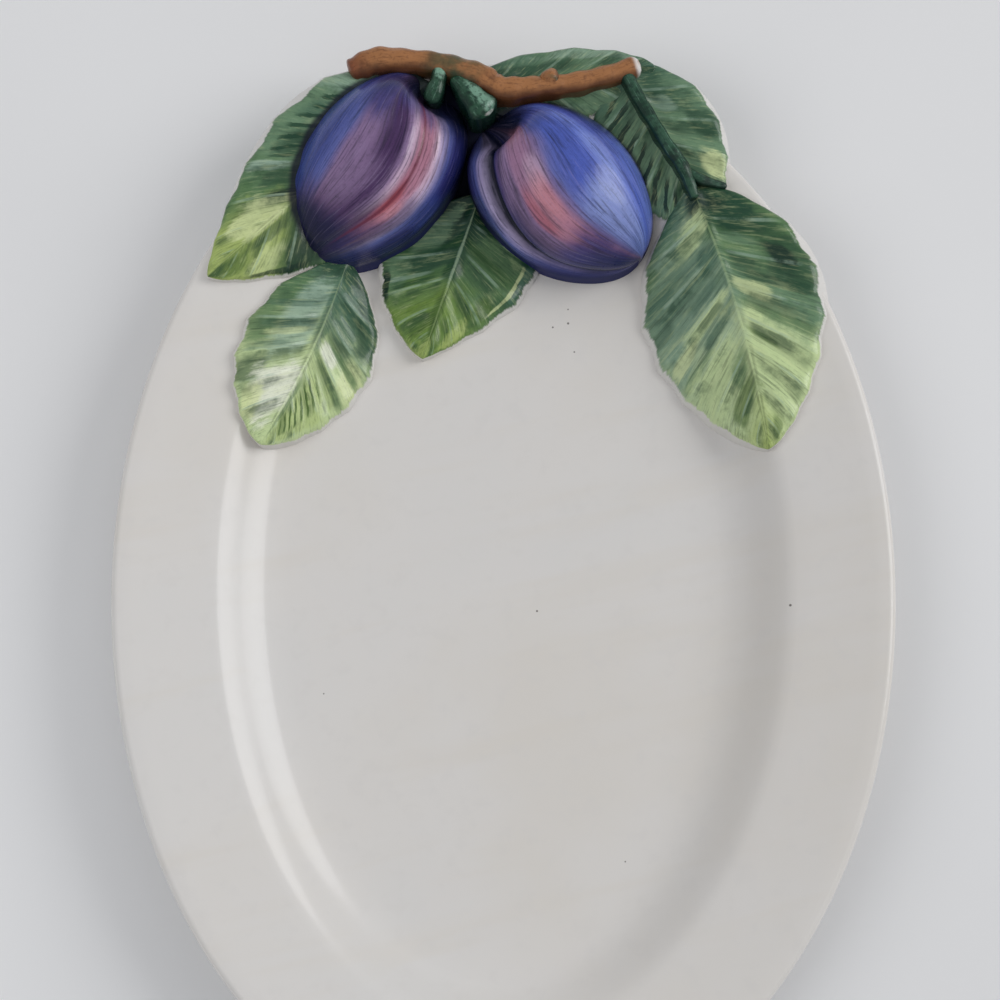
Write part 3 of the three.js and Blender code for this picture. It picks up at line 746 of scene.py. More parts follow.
class Millimetres:
    """The dish's sizes in millimetres, and the surfaces that the relief lies on."""

    def __init__(self, sizes):
        for name in PlatterSizes.__annotations__:
            setattr(self, name, getattr(sizes, name) / MM)

    def oval_half_length(self, half_width):
        """Half length of the dish's oval whose half width is given."""
        widths = (0, self.floor_half_width, self.well_half_width, self.rim_half_width)
        lengths = (0, self.floor_half_length, self.well_half_length, self.rim_half_length)
        step = 0 if half_width <= widths[1] else 1 if half_width <= widths[2] else 2
        share = (half_width - widths[step]) / (widths[step + 1] - widths[step])
        return lengths[step] + share * (lengths[step + 1] - lengths[step])

    def oval_shift(self, half_width):
        """How far the oval of that half width is moved towards the fruit."""
        outward = (half_width - self.well_half_width) / (self.rim_half_width - self.well_half_width)
        return self.well_shift * (1 - clamp(outward))

    def outside_well(self, x, y):
        """Distance of a place outside the well's upper edge, negative inside it."""
        towards = y - self.well_shift
        ratio = math.hypot(x / self.well_half_width, towards / self.well_half_length)
        return math.hypot(x, towards) * (1 - 1 / max(ratio, LEAST_RATIO))

    def drape(self, x, y):
        """Height of a thin sheet laid over floor, wall and rim."""
        outside = self.outside_well(x, y)
        climb = soft_step(outside, -DRAPE_INSIDE, DRAPE_OUTSIDE)
        slope = (self.rim_top - self.well_top) / (self.rim_half_width - self.well_half_width)
        return self.floor_top + (self.well_top - self.floor_top) * climb + slope * max(0, outside)

    def buried(self, x, y):
        """Height inside the clay at which the relief ends below."""
        rim_share = soft_step(self.outside_well(x, y), 0, RIM_RUN)
        return self.drape(x, y) - DEPTH_IN_WELL + (DEPTH_IN_WELL - DEPTH_ON_RIM) * rim_share


def clamp(value):
    """A value kept from 0 to 1."""
    return min(1, max(0, value))


def soft_step(value, low, high):
    """A soft step from 0 at low to 1 at high."""
    share = clamp((value - low) / (high - low))
    return share * share * (3 - 2 * share)


def bell(value, width):
    """1 at 0, falling softly to nothing beyond the width."""
    return math.exp(-((value / width) ** 2))


def bezier(*corners):
    """Points of a curve of the section, from its start, two handles and its end."""
    return list(geometry.interpolate_bezier(*map(Vector, corners), CURVE_POINTS))


def dish_section(mm):
    """Points of the dish's section, from the middle underneath round the lip to the middle of the floor."""
    foot_inner = mm.foot_outer - mm.foot_width
    foot_slant = mm.foot_bevel * FOOT_NARROWING
    lip_radius = mm.rim_thickness / 2
    lip_centre = mm.rim_half_width - lip_radius
    lip_handle = lip_centre + lip_radius * 4 / 3
    lip_bottom = mm.rim_top - mm.rim_thickness
    lip_inner = Vector((lip_centre - lip_radius, lip_bottom - LIP_DROP))
    floor_handle = (FLOOR_HANDLE, mm.floor_top)
    floor_edge = (FLOOR_EDGE, mm.floor_top)
    under_wall = bezier((mm.foot_outer, mm.foot_height), *UNDER_WALL_HANDLES, UNDER_WALL_END)
    lip = bezier(
        (lip_centre, lip_bottom), (lip_handle, lip_bottom), (lip_handle, mm.rim_top), (lip_centre, mm.rim_top)
    )
    well_wall = bezier(WELL_WALL_START, WELL_WALL_HANDLE, floor_handle, floor_edge)
    underside = [
        Vector((foot_inner * step / UNDERSIDE_STEPS, mm.foot_height)) for step in range(UNDERSIDE_STEPS + 1)
    ]
    foot = [
        Vector((foot_inner + mm.foot_bevel, FOOT_EDGE)),
        Vector((foot_inner + foot_slant, 0)),
        Vector((mm.foot_outer - foot_slant, 0)),
        Vector((mm.foot_outer - mm.foot_bevel, FOOT_EDGE)),
    ]
    under_rim = [
        under_wall[-1].lerp(lip_inner, step / UNDER_RIM_STEPS) for step in range(1, UNDER_RIM_STEPS + 1)
    ]
    rim = [lip[-1].lerp(well_wall[0], step / RIM_STEPS) for step in range(1, RIM_STEPS)]
    floor = [
        Vector((FLOOR_EDGE * (1 - step / FLOOR_STEPS), mm.floor_top)) for step in range(1, FLOOR_STEPS + 1)
    ]
    return underside + foot + under_wall + under_rim + lip + rim + well_wall + floor


def make_form(bm, name, finish):
    """Turns a shaped bmesh in millimetres into an object of its own, in metres and in the CAD's frame."""
    bmesh.ops.remove_doubles(bm, verts=bm.verts, dist=MERGE_DISTANCE)
    bmesh.ops.dissolve_degenerate(bm, edges=bm.edges, dist=SHORTEST_EDGE)
    bmesh.ops.recalc_face_normals(bm, faces=bm.faces)
    bmesh.ops.scale(bm, vec=(MM, MM, MM), verts=bm.verts)
    sizes = bpy.context.scene.platter_sizes
    bmesh.ops.translate(bm, vec=(0, CAD_LOW.y + sizes.rim_half_length, 0), verts=bm.verts)
    mesh = bpy.data.meshes.new(name)
    bm.to_mesh(mesh)
    bm.free()
    mesh.materials.append(finish)
    form = bpy.data.objects.new(name, mesh)
    bpy.context.scene.collection.objects.link(form)
    return form


def write_paint_map(bm, place):
    """Gives every corner of a face the paint place that its vertex holds."""
    paint = bm.loops.layers.uv.new(PAINT_MAP)
    for face in bm.faces:
        for loop in face.loops:
            loop[paint].uv = loop.vert[place].xy


def make_dish(mm, finish):
    """The dish: its section spun round and drawn out into ovals, with its paint map along the section."""
    bm = bmesh.new()
    place = bm.verts.layers.float_vector.new("place")
    section = dish_section(mm)
    corners = [bm.verts.new((point.x, 0, point.y)) for point in section]
    for step, corner in enumerate(corners):
        corner[place] = (step / len(section), 0, 0)
    sides = [bm.edges.new(pair) for pair in zip(corners, corners[1:])]
    bmesh.ops.spin(
        bm,
        geom=corners + sides,
        cent=(0, 0, 0),
        axis=(0, 0, 1),
        angle=2 * math.pi,
        steps=BODY_STEPS,
        use_merge=True,
    )
    bmesh.ops.remove_doubles(bm, verts=bm.verts, dist=MERGE_DISTANCE)
    for vertex in bm.verts:
        half_width = vertex.co.xy.length
        angle = math.atan2(vertex.co.y, vertex.co.x)
        vertex.co.x = half_width * math.cos(angle)
        vertex.co.y = mm.oval_half_length(half_width) * math.sin(angle) + mm.oval_shift(half_width)
    write_paint_map(bm, place)
    return make_form(bm, "dish", finish)


def leaf_point(mm, leaf, row, lateral, spread):
    """A point of a leaf's surface, and its share of the way out from the midrib, for a row and a column."""
    base, tip = Vector(leaf.base), Vector(leaf.tip)
    span = tip - base
    across = Vector((-span.y, span.x)).normalized()
    half = leaf.left if lateral > 0 else leaf.right
    outward = abs(lateral) ** COLUMN_CROWDING
    along = 1 - (1 - row) ** (1 + VEIN_SWEEP * outward)
    stretch = math.log(0.5) / math.log(half.widest)
    fullness = max(0, math.sin(math.pi * along**stretch)) ** half.fullness
    wave = math.cos(2 * math.pi * leaf.veins * row)
    teeth = math.cos(2 * math.pi * leaf.veins * TEETH_PER_VEIN * row)
    edge = 1 + (spread or SCALLOP * wave + TOOTH * teeth) * outward**EDGE_POWER
    offset = math.copysign(outward * half.half_width * fullness * edge, lateral)
    bow = 4 * leaf.bow * along * (1 - along)
    spot = base + span * along + across * (offset + bow)
    midrib = mm.midrib_height * (1 - MIDRIB_TAPER * along) * bell(offset, mm.midrib_width)
    vein_reach = min(1, outward / VEIN_START) * (1 - outward**VEIN_FADE)
    vein = mm.vein_height * wave * vein_reach * fullness
    swell = (mm.leaf_swell + leaf.lift) * (1 - outward**2) * math.sqrt(fullness)
    rounding = max(0, (outward - EDGE_START) / (1 - EDGE_START))
    fall = EDGE_ROUND * (1 - math.sqrt(max(0, 1 - rounding**2))) * soft_step(fullness, 0, EDGE_FADE)
    height = mm.drape(*spot) + mm.leaf_edge + leaf.lift + swell + midrib + vein - fall
    return Vector((*spot, height)), math.copysign(outward, lateral)


def make_leaf(mm, leaf, finish):
    """A leaf: a grid whose rows follow the side veins, thickened down into the clay."""
    bm = bmesh.new()
    place = bm.verts.layers.float_vector.new("place")
    bmesh.ops.create_grid(bm, x_segments=leaf.veins * LEAF_ROWS_PER_VEIN, y_segments=LEAF_COLUMNS, size=1)
    lower = list(bm.verts)
    made = bmesh.ops.extrude_face_region(bm, geom=list(bm.faces), use_keep_orig=True)
    upper = [item for item in made["geom"] if isinstance(item, bmesh.types.BMVert)]
    for vertices, is_upper in ((upper, True), (lower, False)):
        for vertex in vertices:
            row = (vertex.co.x + 1) / 2
            point, outward = leaf_point(mm, leaf, row, vertex.co.y, 0 if is_upper else SKIRT)
            if not is_upper:
                point.z = mm.buried(point.x, point.y)
            vertex[place] = (row, outward, 0)
            vertex.co = point
    write_paint_map(bm, place)
    return make_form(bm, leaf.name, finish)


def crease_turn(plum, along):
    """Turn of a plum's crease at a place along it, as a number or as a value of a material's nodes."""
    return plum.crease.turn + plum.crease.bend * (along - plum.crease.place) ** 2


def make_plum(mm, plum, finish):
    """A plum on its side: a sphere drawn out, creased and pitted, straight down below its widest line."""
    heading = math.radians(plum.heading)
    forward = Vector((math.cos(heading), math.sin(heading)))
    across = Vector((forward.y, -forward.x))
    pit_turn = math.radians(plum.pit.turn)
    pit_ring = math.sqrt(1 - plum.pit.place**2)
    pit = Vector((pit_ring * math.sin(pit_turn), pit_ring * math.cos(pit_turn), plum.pit.place))
    bm = bmesh.new()
    bmesh.ops.create_uvsphere(bm, u_segments=PLUM_SEGMENTS, v_segments=PLUM_RINGS, radius=1)
    place = bm.verts.layers.float_vector.new("place")
    for vertex in bm.verts:
        unit = vertex.co.copy()
        around = math.atan2(unit.x, unit.y)
        degrees = math.degrees(around)
        ring = math.hypot(unit.x, unit.y)
        tipward = soft_step(unit.z, TIP_START, 1)
        hollow = 1 - PIT_DEPTH * bell((unit - pit).length, PIT_RADIUS)
        from_crease = degrees - crease_turn(plum, unit.z)
        groove = CREASE_DEPTH * bell(from_crease, CREASE_WIDTH)
        lobes = LOBE_SWELL * bell(abs(from_crease) - LOBE_OFFSET, LOBE_WIDTH)
        girth = ring * hollow * (1 - TIP_NARROWING * tipward) * (1 - groove + lobes)
        along = plum.half_length * (unit.z * hollow + TIP_POINT * tipward)
        is_upper = math.cos(around) >= 0
        shoulder = PLUM_SHOULDER if is_upper else FLANK_SHOULDER
        sideways = math.copysign(abs(math.sin(around)) ** shoulder, around)
        spot = Vector(plum.centre) + forward * along + across * (plum.half_width * girth * sideways)
        middle = mm.plum_middle + PLUM_TILT * along * forward.y
        if is_upper:
            height = middle + mm.plum_rise * girth * math.cos(around)
        else:
            bottom = min(mm.buried(*spot), middle - FLANK_LEAST)
            height = max(middle + FLANK_DROP * math.cos(around), bottom)
        vertex[place] = (unit.z, degrees / 180, 0)
        vertex.co = (*spot, height)
    write_paint_map(bm, place)
    return make_form(bm, plum.name, finish)


def spline(values, share):
    """A smooth curve through the values, at a share of its way."""
    position = clamp(share) * (len(values) - 1)
    index = min(int(position), len(values) - 2)
    part = position - index
    before = values[max(index - 1, 0)]
    after = values[min(index + 2, len(values) - 1)]
    here, there = values[index], values[index + 1]
    bend = part * part * (3 - 2 * part)
    leave = (there - before) * CURVE_PULL * part * (1 - part) ** 2
    arrive = (after - here) * CURVE_PULL * part * part * (1 - part)
    return here * (1 - bend) + there * bend + (leave - arrive)


def make_stem(mm, stem, finish):
    """A stem: a sheet rolled round a smooth curve, closed at its ends, its lower half straight down."""
    points = [Vector(point) for point in stem.points]
    run = sum((there - here).length for here, there in zip(points, points[1:]))
    bm = bmesh.new()
    bmesh.ops.create_grid(bm, x_segments=int(run / STEM_STEP), y_segments=STEM_SIDES, size=1)
    place = bm.verts.layers.float_vector.new("place")
    for vertex in bm.verts:
        share = (vertex.co.x + 1) / 2
        angle = math.pi * vertex.co.y
        centre = spline(points, share)
        tangent = spline(points, share + TANGENT_STEP) - spline(points, share - TANGENT_STEP)
        sideways = tangent.normalized().cross(Vector((0, 0, 1))).normalized()
        full = spline(stem.radii, share)
        to_end = min(share, 1 - share) * run / full
        radius = full * math.sqrt(clamp(to_end * (2 - min(1, to_end))))
        lump = LUMP * math.sin(share * run * LUMP_RATE)
        ridge = RIDGE * math.sin(RIDGE_NUMBER * angle + share * run * RIDGE_TWIST)
        knotty = 1 + lump + ridge
        spot = centre + sideways * radius * knotty * math.sin(angle)
        height = centre.z + stem.height * radius * knotty * math.cos(angle)
        if math.cos(angle) < UNDER_STEM:
            height = mm.buried(spot.x, spot.y)
        vertex[place] = (share, math.sin(angle), 0)
        vertex.co = (spot.x, spot.y, height)
    write_paint_map(bm, place)
    return make_form(bm, stem.name, finish)


def new_material(name):
    """An empty material and the start of its node expressions."""
    material = bpy.data.materials.new(name)
    material.use_nodes = True
    material.node_tree.nodes.clear()
    return material, Shade(material.node_tree)


class Paint:
    """The colour of a surface, with named colours laid over each other."""

    def __init__(self, colours, shade):
        self.colours = colours
        self.shade = shade
        self.base = None

    def tint(self, name, tone=(1, 1, 1)):
        """A named colour with full cover, its red, green and blue toned down."""
        return (*[level * share for level, share in zip(getattr(self.colours, name), tone)], 1)

    def fill(self, name):
        """Starts with one colour everywhere."""
        self.base = self.shade.flat(self.tint(name))

    def wash(self, stops, place):
        """Starts with colours that run into each other, each fullest at its own place."""
        tints = [(position, self.tint(name)) for position, name in stops]
        self.base = self.shade.node("ShaderNodeValToRGB", {"stops": tints}, {0: place})

    def lay(self, name, mask, share=1, tone=(1, 1, 1)):
        """Lays a colour over what is there, where the mask is and as far as the share covers."""
        self.base = self.base.over(self.tint(name, tone), mask * share)

    def fire(self, roughness, relief, strength, coat=COAT):
        """Finishes the surface: the paint under a glossy coat, with a fine relief."""
        heights = {"Height": relief, "Strength": strength, "Distance": RELIEF_DEPTH}
        surface = self.shade.node(
            "ShaderNodeBsdfPrincipled",
            {},
            {
                "Base Color": self.base,
                "Roughness": roughness,
                "Specular IOR Level": SHINE,
                "Coat Weight": coat,
                "Coat Roughness": COAT_ROUGHNESS,
                "Normal": self.shade.node("ShaderNodeBump", {}, heights),
            },
        )
        self.shade.node("ShaderNodeOutputMaterial", {}, {"Surface": surface})


def object_place(shade):
    """Place on the object in metres."""
    return shade.node("ShaderNodeTexCoord", {}, {}, "Object")


def paint_place(shade):
    """Place along and across a painted form."""
    return shade.node("ShaderNodeUVMap", {"uv_map": PAINT_MAP}, {})


def split(place):
    """The parts of a place."""
    parts = place.node("ShaderNodeSeparateXYZ", {}, {0: place})
    return parts, parts.output("Y"), parts.output("Z")


def stroke_cover(along, across, rough, stroke, softness):
    """How much a stroke covers a place, from 0 to 1, with a brushed edge."""
    row_middle = (stroke.rows[0] + stroke.rows[1]) / 2
    row_half = (stroke.rows[1] - stroke.rows[0]) / 2
    middle = (stroke.across[0] + stroke.across[1]) / 2
    half = (stroke.across[1] - stroke.across[0]) / 2
    lengthways = abs(along - row_middle) / row_half
    sideways = abs(across - middle) / half
    corner = lengthways**STROKE_SQUARENESS + sideways**STROKE_SQUARENESS
    reach = corner ** (1 / STROKE_SQUARENESS) + rough
    return (1 - reach.smooth(1 - softness, 1 + softness)) * stroke.cover


def beyond_plum(shade, place, plum, centre_y):
    """Distance in millimetres outside a plum's outline, seen from above."""
    mapping = shade.node(
        "ShaderNodeMapping",
        {"vector_type": "TEXTURE"},
        {
            "Vector": place,
            "Location": (plum.centre[0] * MM, plum.centre[1] * MM + centre_y, 0),
            "Rotation": (0, 0, math.radians(plum.heading)),
            "Scale": (plum.half_length * MM, plum.half_width * MM, 1 / MM),
        },
    )
    ratio = shade.node("ShaderNodeVectorMath", {"operation": "LENGTH"}, {0: mapping}, "Value")
    return (ratio - 1) * plum.half_width


def painted_plum_shade(shade, place, rough, reach):
    """How much painted shade lies by the plums, fading between two distances from their outlines."""
    centre_y = CAD_LOW.y + bpy.context.scene.platter_sizes.rim_half_length
    near = [beyond_plum(shade, place, plum, centre_y) for plum in PLUMS]
    return 1 - (near[0].lowest(near[1]) + rough).smooth(*reach)


def apart(x, y, spot):
    """Distance in metres, seen from above, from a spot in millimetres."""
    return ((x - spot[0] * MM) ** 2 + (y - spot[1] * MM) ** 2) ** 0.5


def glaze_material(colours):
    """White glaze: slightly mottled, with a few specks, painted shade between the plums, bare clay under the
    foot.
    """
    material, shade = new_material("white_glaze")
    paint = Paint(colours, shade)
    place = object_place(shade)
    x, y, z = split(place)
    cloud = shade.noise(place, scale=9, detail=4)
    fine = shade.noise(place, scale=160, detail=3)
    brushed = shade.noise(shade.vector(x * 6 + y * 2, y * 60 - x * 14, z * 20), scale=1, detail=3)
    warm = (0.97, 0.95, 0.91)
    cool = (0.96, 0.98, 1.0)
    dull = (0.93, 0.93, 0.93)
    paint.fill("glaze")
    paint.lay("glaze", cloud.smooth(0.45, 0.7), 0.7, warm)
    paint.lay("glaze", 1 - cloud.smooth(0.3, 0.5), 0.5, cool)
    paint.lay("glaze", brushed.smooth(0.5, 0.7), 0.5, warm)
    paint.lay("glaze", fine.smooth(0.5, 0.75), 0.3, dull)
    for *spot, radius in SPECKS:
        distance = apart(x, y, spot) + (fine - 0.5) * (radius * MM)
        paint.lay("speck", 1 - distance.smooth(radius * MM / 2, radius * MM), 0.8)
    # Painted shade: near-black laid on the glaze's upper side between the plums and up by the stalks.
    between = abs(x - PAINTED_SHADE_MIDDLE * MM).smooth(PAINTED_SHADE_SIDES[0] * MM, PAINTED_SHADE_SIDES[1] * MM)
    beyond = y.smooth(PAINTED_SHADE_START[0] * MM, PAINTED_SHADE_START[1] * MM)
    section_share, _, _ = split(paint_place(shade))
    upper = section_share.smooth(*UPPER_SIDE)
    painted_shade = painted_plum_shade(shade, place, (fine - 0.5) * 2, PAINTED_SHADE_REACH) * between * beyond * upper
    paint.lay("plum_night", painted_shade)
    bare = 1 - z.smooth(BARE_CLAY[0] * MM, BARE_CLAY[1] * MM)
    paint.lay("biscuit", bare)
    roughness = 0.2 + cloud * 0.1 + bare * 0.5 + painted_shade * 0.6
    paint.fire(roughness, cloud + fine * 0.15, 0.25, (1 - painted_shade) * COAT)
    return material


def leaf_material(colours, leaf):
    """Leaf paint: washes from base to tip, strokes along the side veins, painted shade and highlights along
    the veins and midrib, a bare edge, painted shade by the plums.
    """
    material, shade = new_material(leaf.name)
    paint = Paint(colours, shade)
    row, across, _ = split(paint_place(shade))
    place = object_place(shade)
    outward = abs(across)
    seed = len(leaf.name) + leaf.base[0]
    veins = row * leaf.veins
    streak = shade.noise(shade.vector(veins * 3.5, across * 2.2, seed), scale=1, detail=5, roughness=0.65)
    hair = shade.noise(shade.vector(veins * 14, across * 2.5, seed), scale=1, detail=3, roughness=0.6)
    weave = shade.noise(place, WEAVE_SCALE, detail=2, roughness=0.6)
    blotch = shade.noise(place, scale=110, detail=4, roughness=0.6)
    rough = (streak - 0.5) * 1.3 + (blotch - 0.5) * 1.1 + (hair - 0.5) * 0.4
    paint.wash(leaf.ground, row + (blotch - 0.5) * 0.3 + (streak - 0.5) * 0.12)
    for stroke in leaf.strokes:
        paint.lay(stroke.colour, stroke_cover(row, across, rough, stroke, BRUSH_EDGE))
    # Painted shade just past each side vein, fading towards the next one, and a painted highlight along each
    # vein's ridge.
    ridge = (veins * (2 * math.pi)).cosine().smooth(0.93, 0.99)
    reach = outward.smooth(0.03, 0.15) * (1 - outward.smooth(0.75, 0.95)) * blotch.smooth(0.35, 0.62)
    beside = (veins + (streak - 0.5) * 0.2).fraction()
    shadow = beside.smooth(0.04, 0.1) * (1 - beside.smooth(0.12, 0.7))
    paint.lay("leaf_dark", shadow * reach, 0.7)
    paint.lay("leaf_mist", ridge * reach, 0.5)
    if leaf.dashes:
        rows, columns, number, ink = leaf.dashes
        beat = row * (number * 2 * math.pi / (rows[1] - rows[0])) - outward * 7 + (blotch - 0.5) * 6
        window = stroke_cover(row, across, rough, Stroke(rows, columns, ink), BRUSH_EDGE)
        paint.lay(ink, beat.cosine().smooth(0.2, 0.5) * window)
    paint.lay("leaf_dark", streak.smooth(0.5, 0.7), 0.25)
    paint.lay("leaf_pale", 1 - streak.smooth(0.3, 0.47), 0.15)
    paint.lay("leaf_deep", hair.smooth(0.5, 0.7), 0.4)
    paint.lay("leaf_pale", 1 - hair.smooth(0.3, 0.47), 0.2)
    paint.lay("leaf_deep", weave.smooth(0.5, 0.8), 0.15)
    beside_rib = outward.smooth(0.008, 0.02) * (1 - outward.smooth(0.03, 0.07))
    paint.lay("leaf_deep", beside_rib * blotch.smooth(0.35, 0.65), 0.4)
    # A painted highlight along the top of the midrib.
    paint.lay("leaf_wash", 1 - outward.smooth(0.006, 0.022), 0.2)
    edge = (outward + (hair - 0.5) * 0.1 + (blotch - 0.5) * 0.06).smooth(0.95, 0.985)
    paint.lay("glaze", edge, 0.95)
    # Painted shade on the leaf where it meets the plums.
    paint.lay("plum_night", painted_plum_shade(shade, place, (blotch - 0.5) * 1.5, LEAF_PAINTED_SHADE_REACH), 0.9)
    paint.fire(0.24 + weave * 0.12, hair * 0.7 + streak, 0.35)
    return material


def plum_material(colours, plum):
    """Plum paint: bands along the fruit, drawn out in fine strokes, darker at both ends, and on the flanks
    the plum's own dark blue deepened as painted shade.
    """
    material, shade = new_material(plum.name)
    paint = Paint(colours, shade)
    along, turn, _ = split(paint_place(shade))
    place = object_place(shade)
    seed = plum.heading
    fan = turn * 180
    crease = crease_turn(plum, along)
    middle = crease_turn(plum, 0)
    straight = {"interpolation_type": "LINEAR"}
    below = {"Value": fan, "From Min": -90, "From Max": crease, "To Min": -90, "To Max": middle}
    above = {"Value": fan, "From Min": crease, "From Max": 90, "To Min": 0, "To Max": 90 - middle}
    left_of_crease = shade.node("ShaderNodeMapRange", straight, below)
    right_of_crease = shade.node("ShaderNodeMapRange", straight, above)
    drawn = left_of_crease + right_of_crease
    brush = shade.noise(shade.vector(along * 1.6, drawn * 0.16, seed), scale=1, detail=5, roughness=0.65)
    hair = shade.noise(shade.vector(along * 2.5, drawn * 0.6, seed), scale=1, detail=3, roughness=0.6)
    weave = shade.noise(place, WEAVE_SCALE, detail=2, roughness=0.6)
    cloud = shade.noise(place, scale=70, detail=3)
    degrees = drawn + (brush - 0.5) * 8 + (hair - 0.5) * 6 + (cloud - 0.5) * 5
    paint.wash([((angle + 90) / 180, name) for angle, name in plum.bands], (degrees + 90) / 180)
    rough = (brush - 0.5) * 1.2 + (hair - 0.5) * 0.6 + (cloud - 0.5) * 0.7
    for patch in plum.patches:
        paint.lay(patch.colour, stroke_cover(along, drawn, rough, patch, PATCH_EDGE))
    paint.lay("plum_night", brush.smooth(0.5, 0.7), 0.45)
    paint.lay("plum_night", hair.smooth(0.49, 0.68), 0.5)
    paint.lay("plum_lilac", 1 - hair.smooth(0.3, 0.46), 0.15)
    paint.lay("plum_night", weave.smooth(0.5, 0.8), 0.25)
    line = (1 - abs(fan - crease).smooth(0.4, 2.6)) * (1 - abs(along).smooth(0.6, 0.9))
    paint.lay("plum_wine" if plum.crease.turn < 0 else "plum_night", line, 0.7)
    # The flanks below the widest line: the plum's own dark blue, made darker as painted shade, matt and
    # without coat.
    flank = abs(fan).smooth(80, 90)
    tipward = along.smooth(-0.5, 0.3)
    paint.lay("plum_night", flank * (1 - tipward))
    paint.lay("plum_navy", flank * tipward)
    roughness = 0.24 + weave * 0.1 + flank * 0.4
    paint.fire(roughness, hair * 0.6 + brush, 0.3, (1 - flank) * COAT)
    return material


def bark_material(colours):
    """Branch paint: orange-brown with painted shade along one side, a red end, a painted highlight at the
    right end, a curled knot and a green stain.
    """
    material, shade = new_material("bark")
    paint = Paint(colours, shade)
    share, sideways, _ = split(paint_place(shade))
    place = object_place(shade)
    x, y, _ = split(place)
    grain = shade.noise(shade.vector(share * 22, sideways * 5, 3), scale=1, detail=4, roughness=0.6)
    cloud = shade.noise(place, scale=130, detail=3)
    weave = shade.noise(place, WEAVE_SCALE, detail=2, roughness=0.6)
    paint.fill("bark_light")
    paint.lay("bark_red", 1 - share.smooth(0.02, 0.14), 0.85)
    paint.lay("bark_dark", grain.smooth(0.5, 0.7), 0.55)
    paint.lay("bark_dark", cloud.smooth(0.52, 0.7), 0.55)
    # Painted shade along one side of the branch and of the bud.
    paint.lay("bark_dark", (sideways + (cloud - 0.5) * 0.7).smooth(0.25, 0.85), 0.8)
    stain = (1 - abs(share - 0.37).smooth(0.03, 0.12)) * cloud.smooth(0.3, 0.6)
    paint.lay("leaf_dark", stain, 0.75)
    curl = apart(x, y, KNOT) + (cloud - 0.5) * (1.2 * MM)
    ring = curl.smooth(0.7 * MM, 1.3 * MM) * (1 - curl.smooth(1.5 * MM, 2.2 * MM))
    paint.lay("bark_dark", ring * cloud.smooth(0.4, 0.6), 0.7)
    paint.lay("bark_dark", weave.smooth(0.5, 0.75), 0.4)
    # A painted highlight in the glaze colour at the branch's right end.
    at_right = x.smooth(PAINTED_GLINT_END[0] * MM, PAINTED_GLINT_END[1] * MM)
    paint.lay("glaze", share.smooth(0.965, 0.985) * cloud.smooth(0.35, 0.5) * at_right)
    paint.fire(0.24 + cloud * 0.14, grain + cloud, 0.4)
    return material


def stalk_material(colours, stem):
    """Green of a stalk: dark and glossy, with light strokes that are partly painted highlights, and painted
    shade along both sides.
    """
    material, shade = new_material(stem.name)
    paint = Paint(colours, shade)
    share, sideways, _ = split(paint_place(shade))
    place = object_place(shade)
    grain = shade.noise(shade.vector(share * 4, sideways * 5, 8), scale=1, detail=4, roughness=0.6)
    cloud = shade.noise(place, scale=150, detail=3)
    fine = shade.noise(place, scale=700, detail=2, roughness=0.6)
    paint.fill("leaf_dark")
    paint.lay("leaf_teal", cloud.smooth(0.4, 0.6), 0.4)
    paint.lay("stalk_light", grain.smooth(0.54, 0.7), 0.5)
    paint.lay("stalk_deep", 1 - cloud.smooth(0.36, 0.52), 0.85)
    rough = (cloud - 0.5) * 1.4 + (grain - 0.5) * 0.8 + (fine - 0.5) * 0.8
    for stroke in stem.strokes:
        paint.lay(stroke.colour, stroke_cover(share, sideways, rough, stroke, BRUSH_EDGE))
    paint.lay("stalk_deep", fine.smooth(0.48, 0.66), 0.6)
    # Painted shade along both sides of the stalk.
    paint.lay("stalk_deep", abs(sideways).smooth(0.55, 0.98), 0.85)
    paint.fire(0.16 + cloud * 0.12, grain + cloud, 0.5)
    return material


class PLATTER_OT_dish(bpy.types.Operator):
    """Makes the glazed oval dish with its rim, well and foot"""

    bl_idname = "platter.dish"
    bl_label = "Dish"

    def execute(self, context):
        mm = Millimetres(context.scene.platter_sizes)
        make_dish(mm, glaze_material(context.scene.platter_colours))
        return {"FINISHED"}


class PLATTER_OT_leaves(bpy.types.Operator):
    """Makes the moulded and painted leaves"""

    bl_idname = "platter.leaves"
    bl_label = "Leaves"

    def execute(self, context):
        mm = Millimetres(context.scene.platter_sizes)
        for leaf in LEAVES:
            make_leaf(mm, leaf, leaf_material(context.scene.platter_colours, leaf))
        return {"FINISHED"}


class PLATTER_OT_plums(bpy.types.Operator):
    """Makes the moulded and painted plums"""

    bl_idname = "platter.plums"
    bl_label = "Plums"

    def execute(self, context):
        mm = Millimetres(context.scene.platter_sizes)
        for plum in PLUMS:
            make_plum(mm, plum, plum_material(context.scene.platter_colours, plum))
        return {"FINISHED"}


class PLATTER_OT_stems(bpy.types.Operator):
    """Makes the branch, its bud, the fruit stalks and the leaf stem"""

    bl_idname = "platter.stems"
    bl_label = "Branch and stalks"

    def execute(self, context):
        mm = Millimetres(context.scene.platter_sizes)
        colours = context.scene.platter_colours
        bark = bark_material(colours)
        for stem in STEMS:
            make_stem(mm, stem, bark if stem.finish == "bark" else stalk_material(colours, stem))
        return {"FINISHED"}


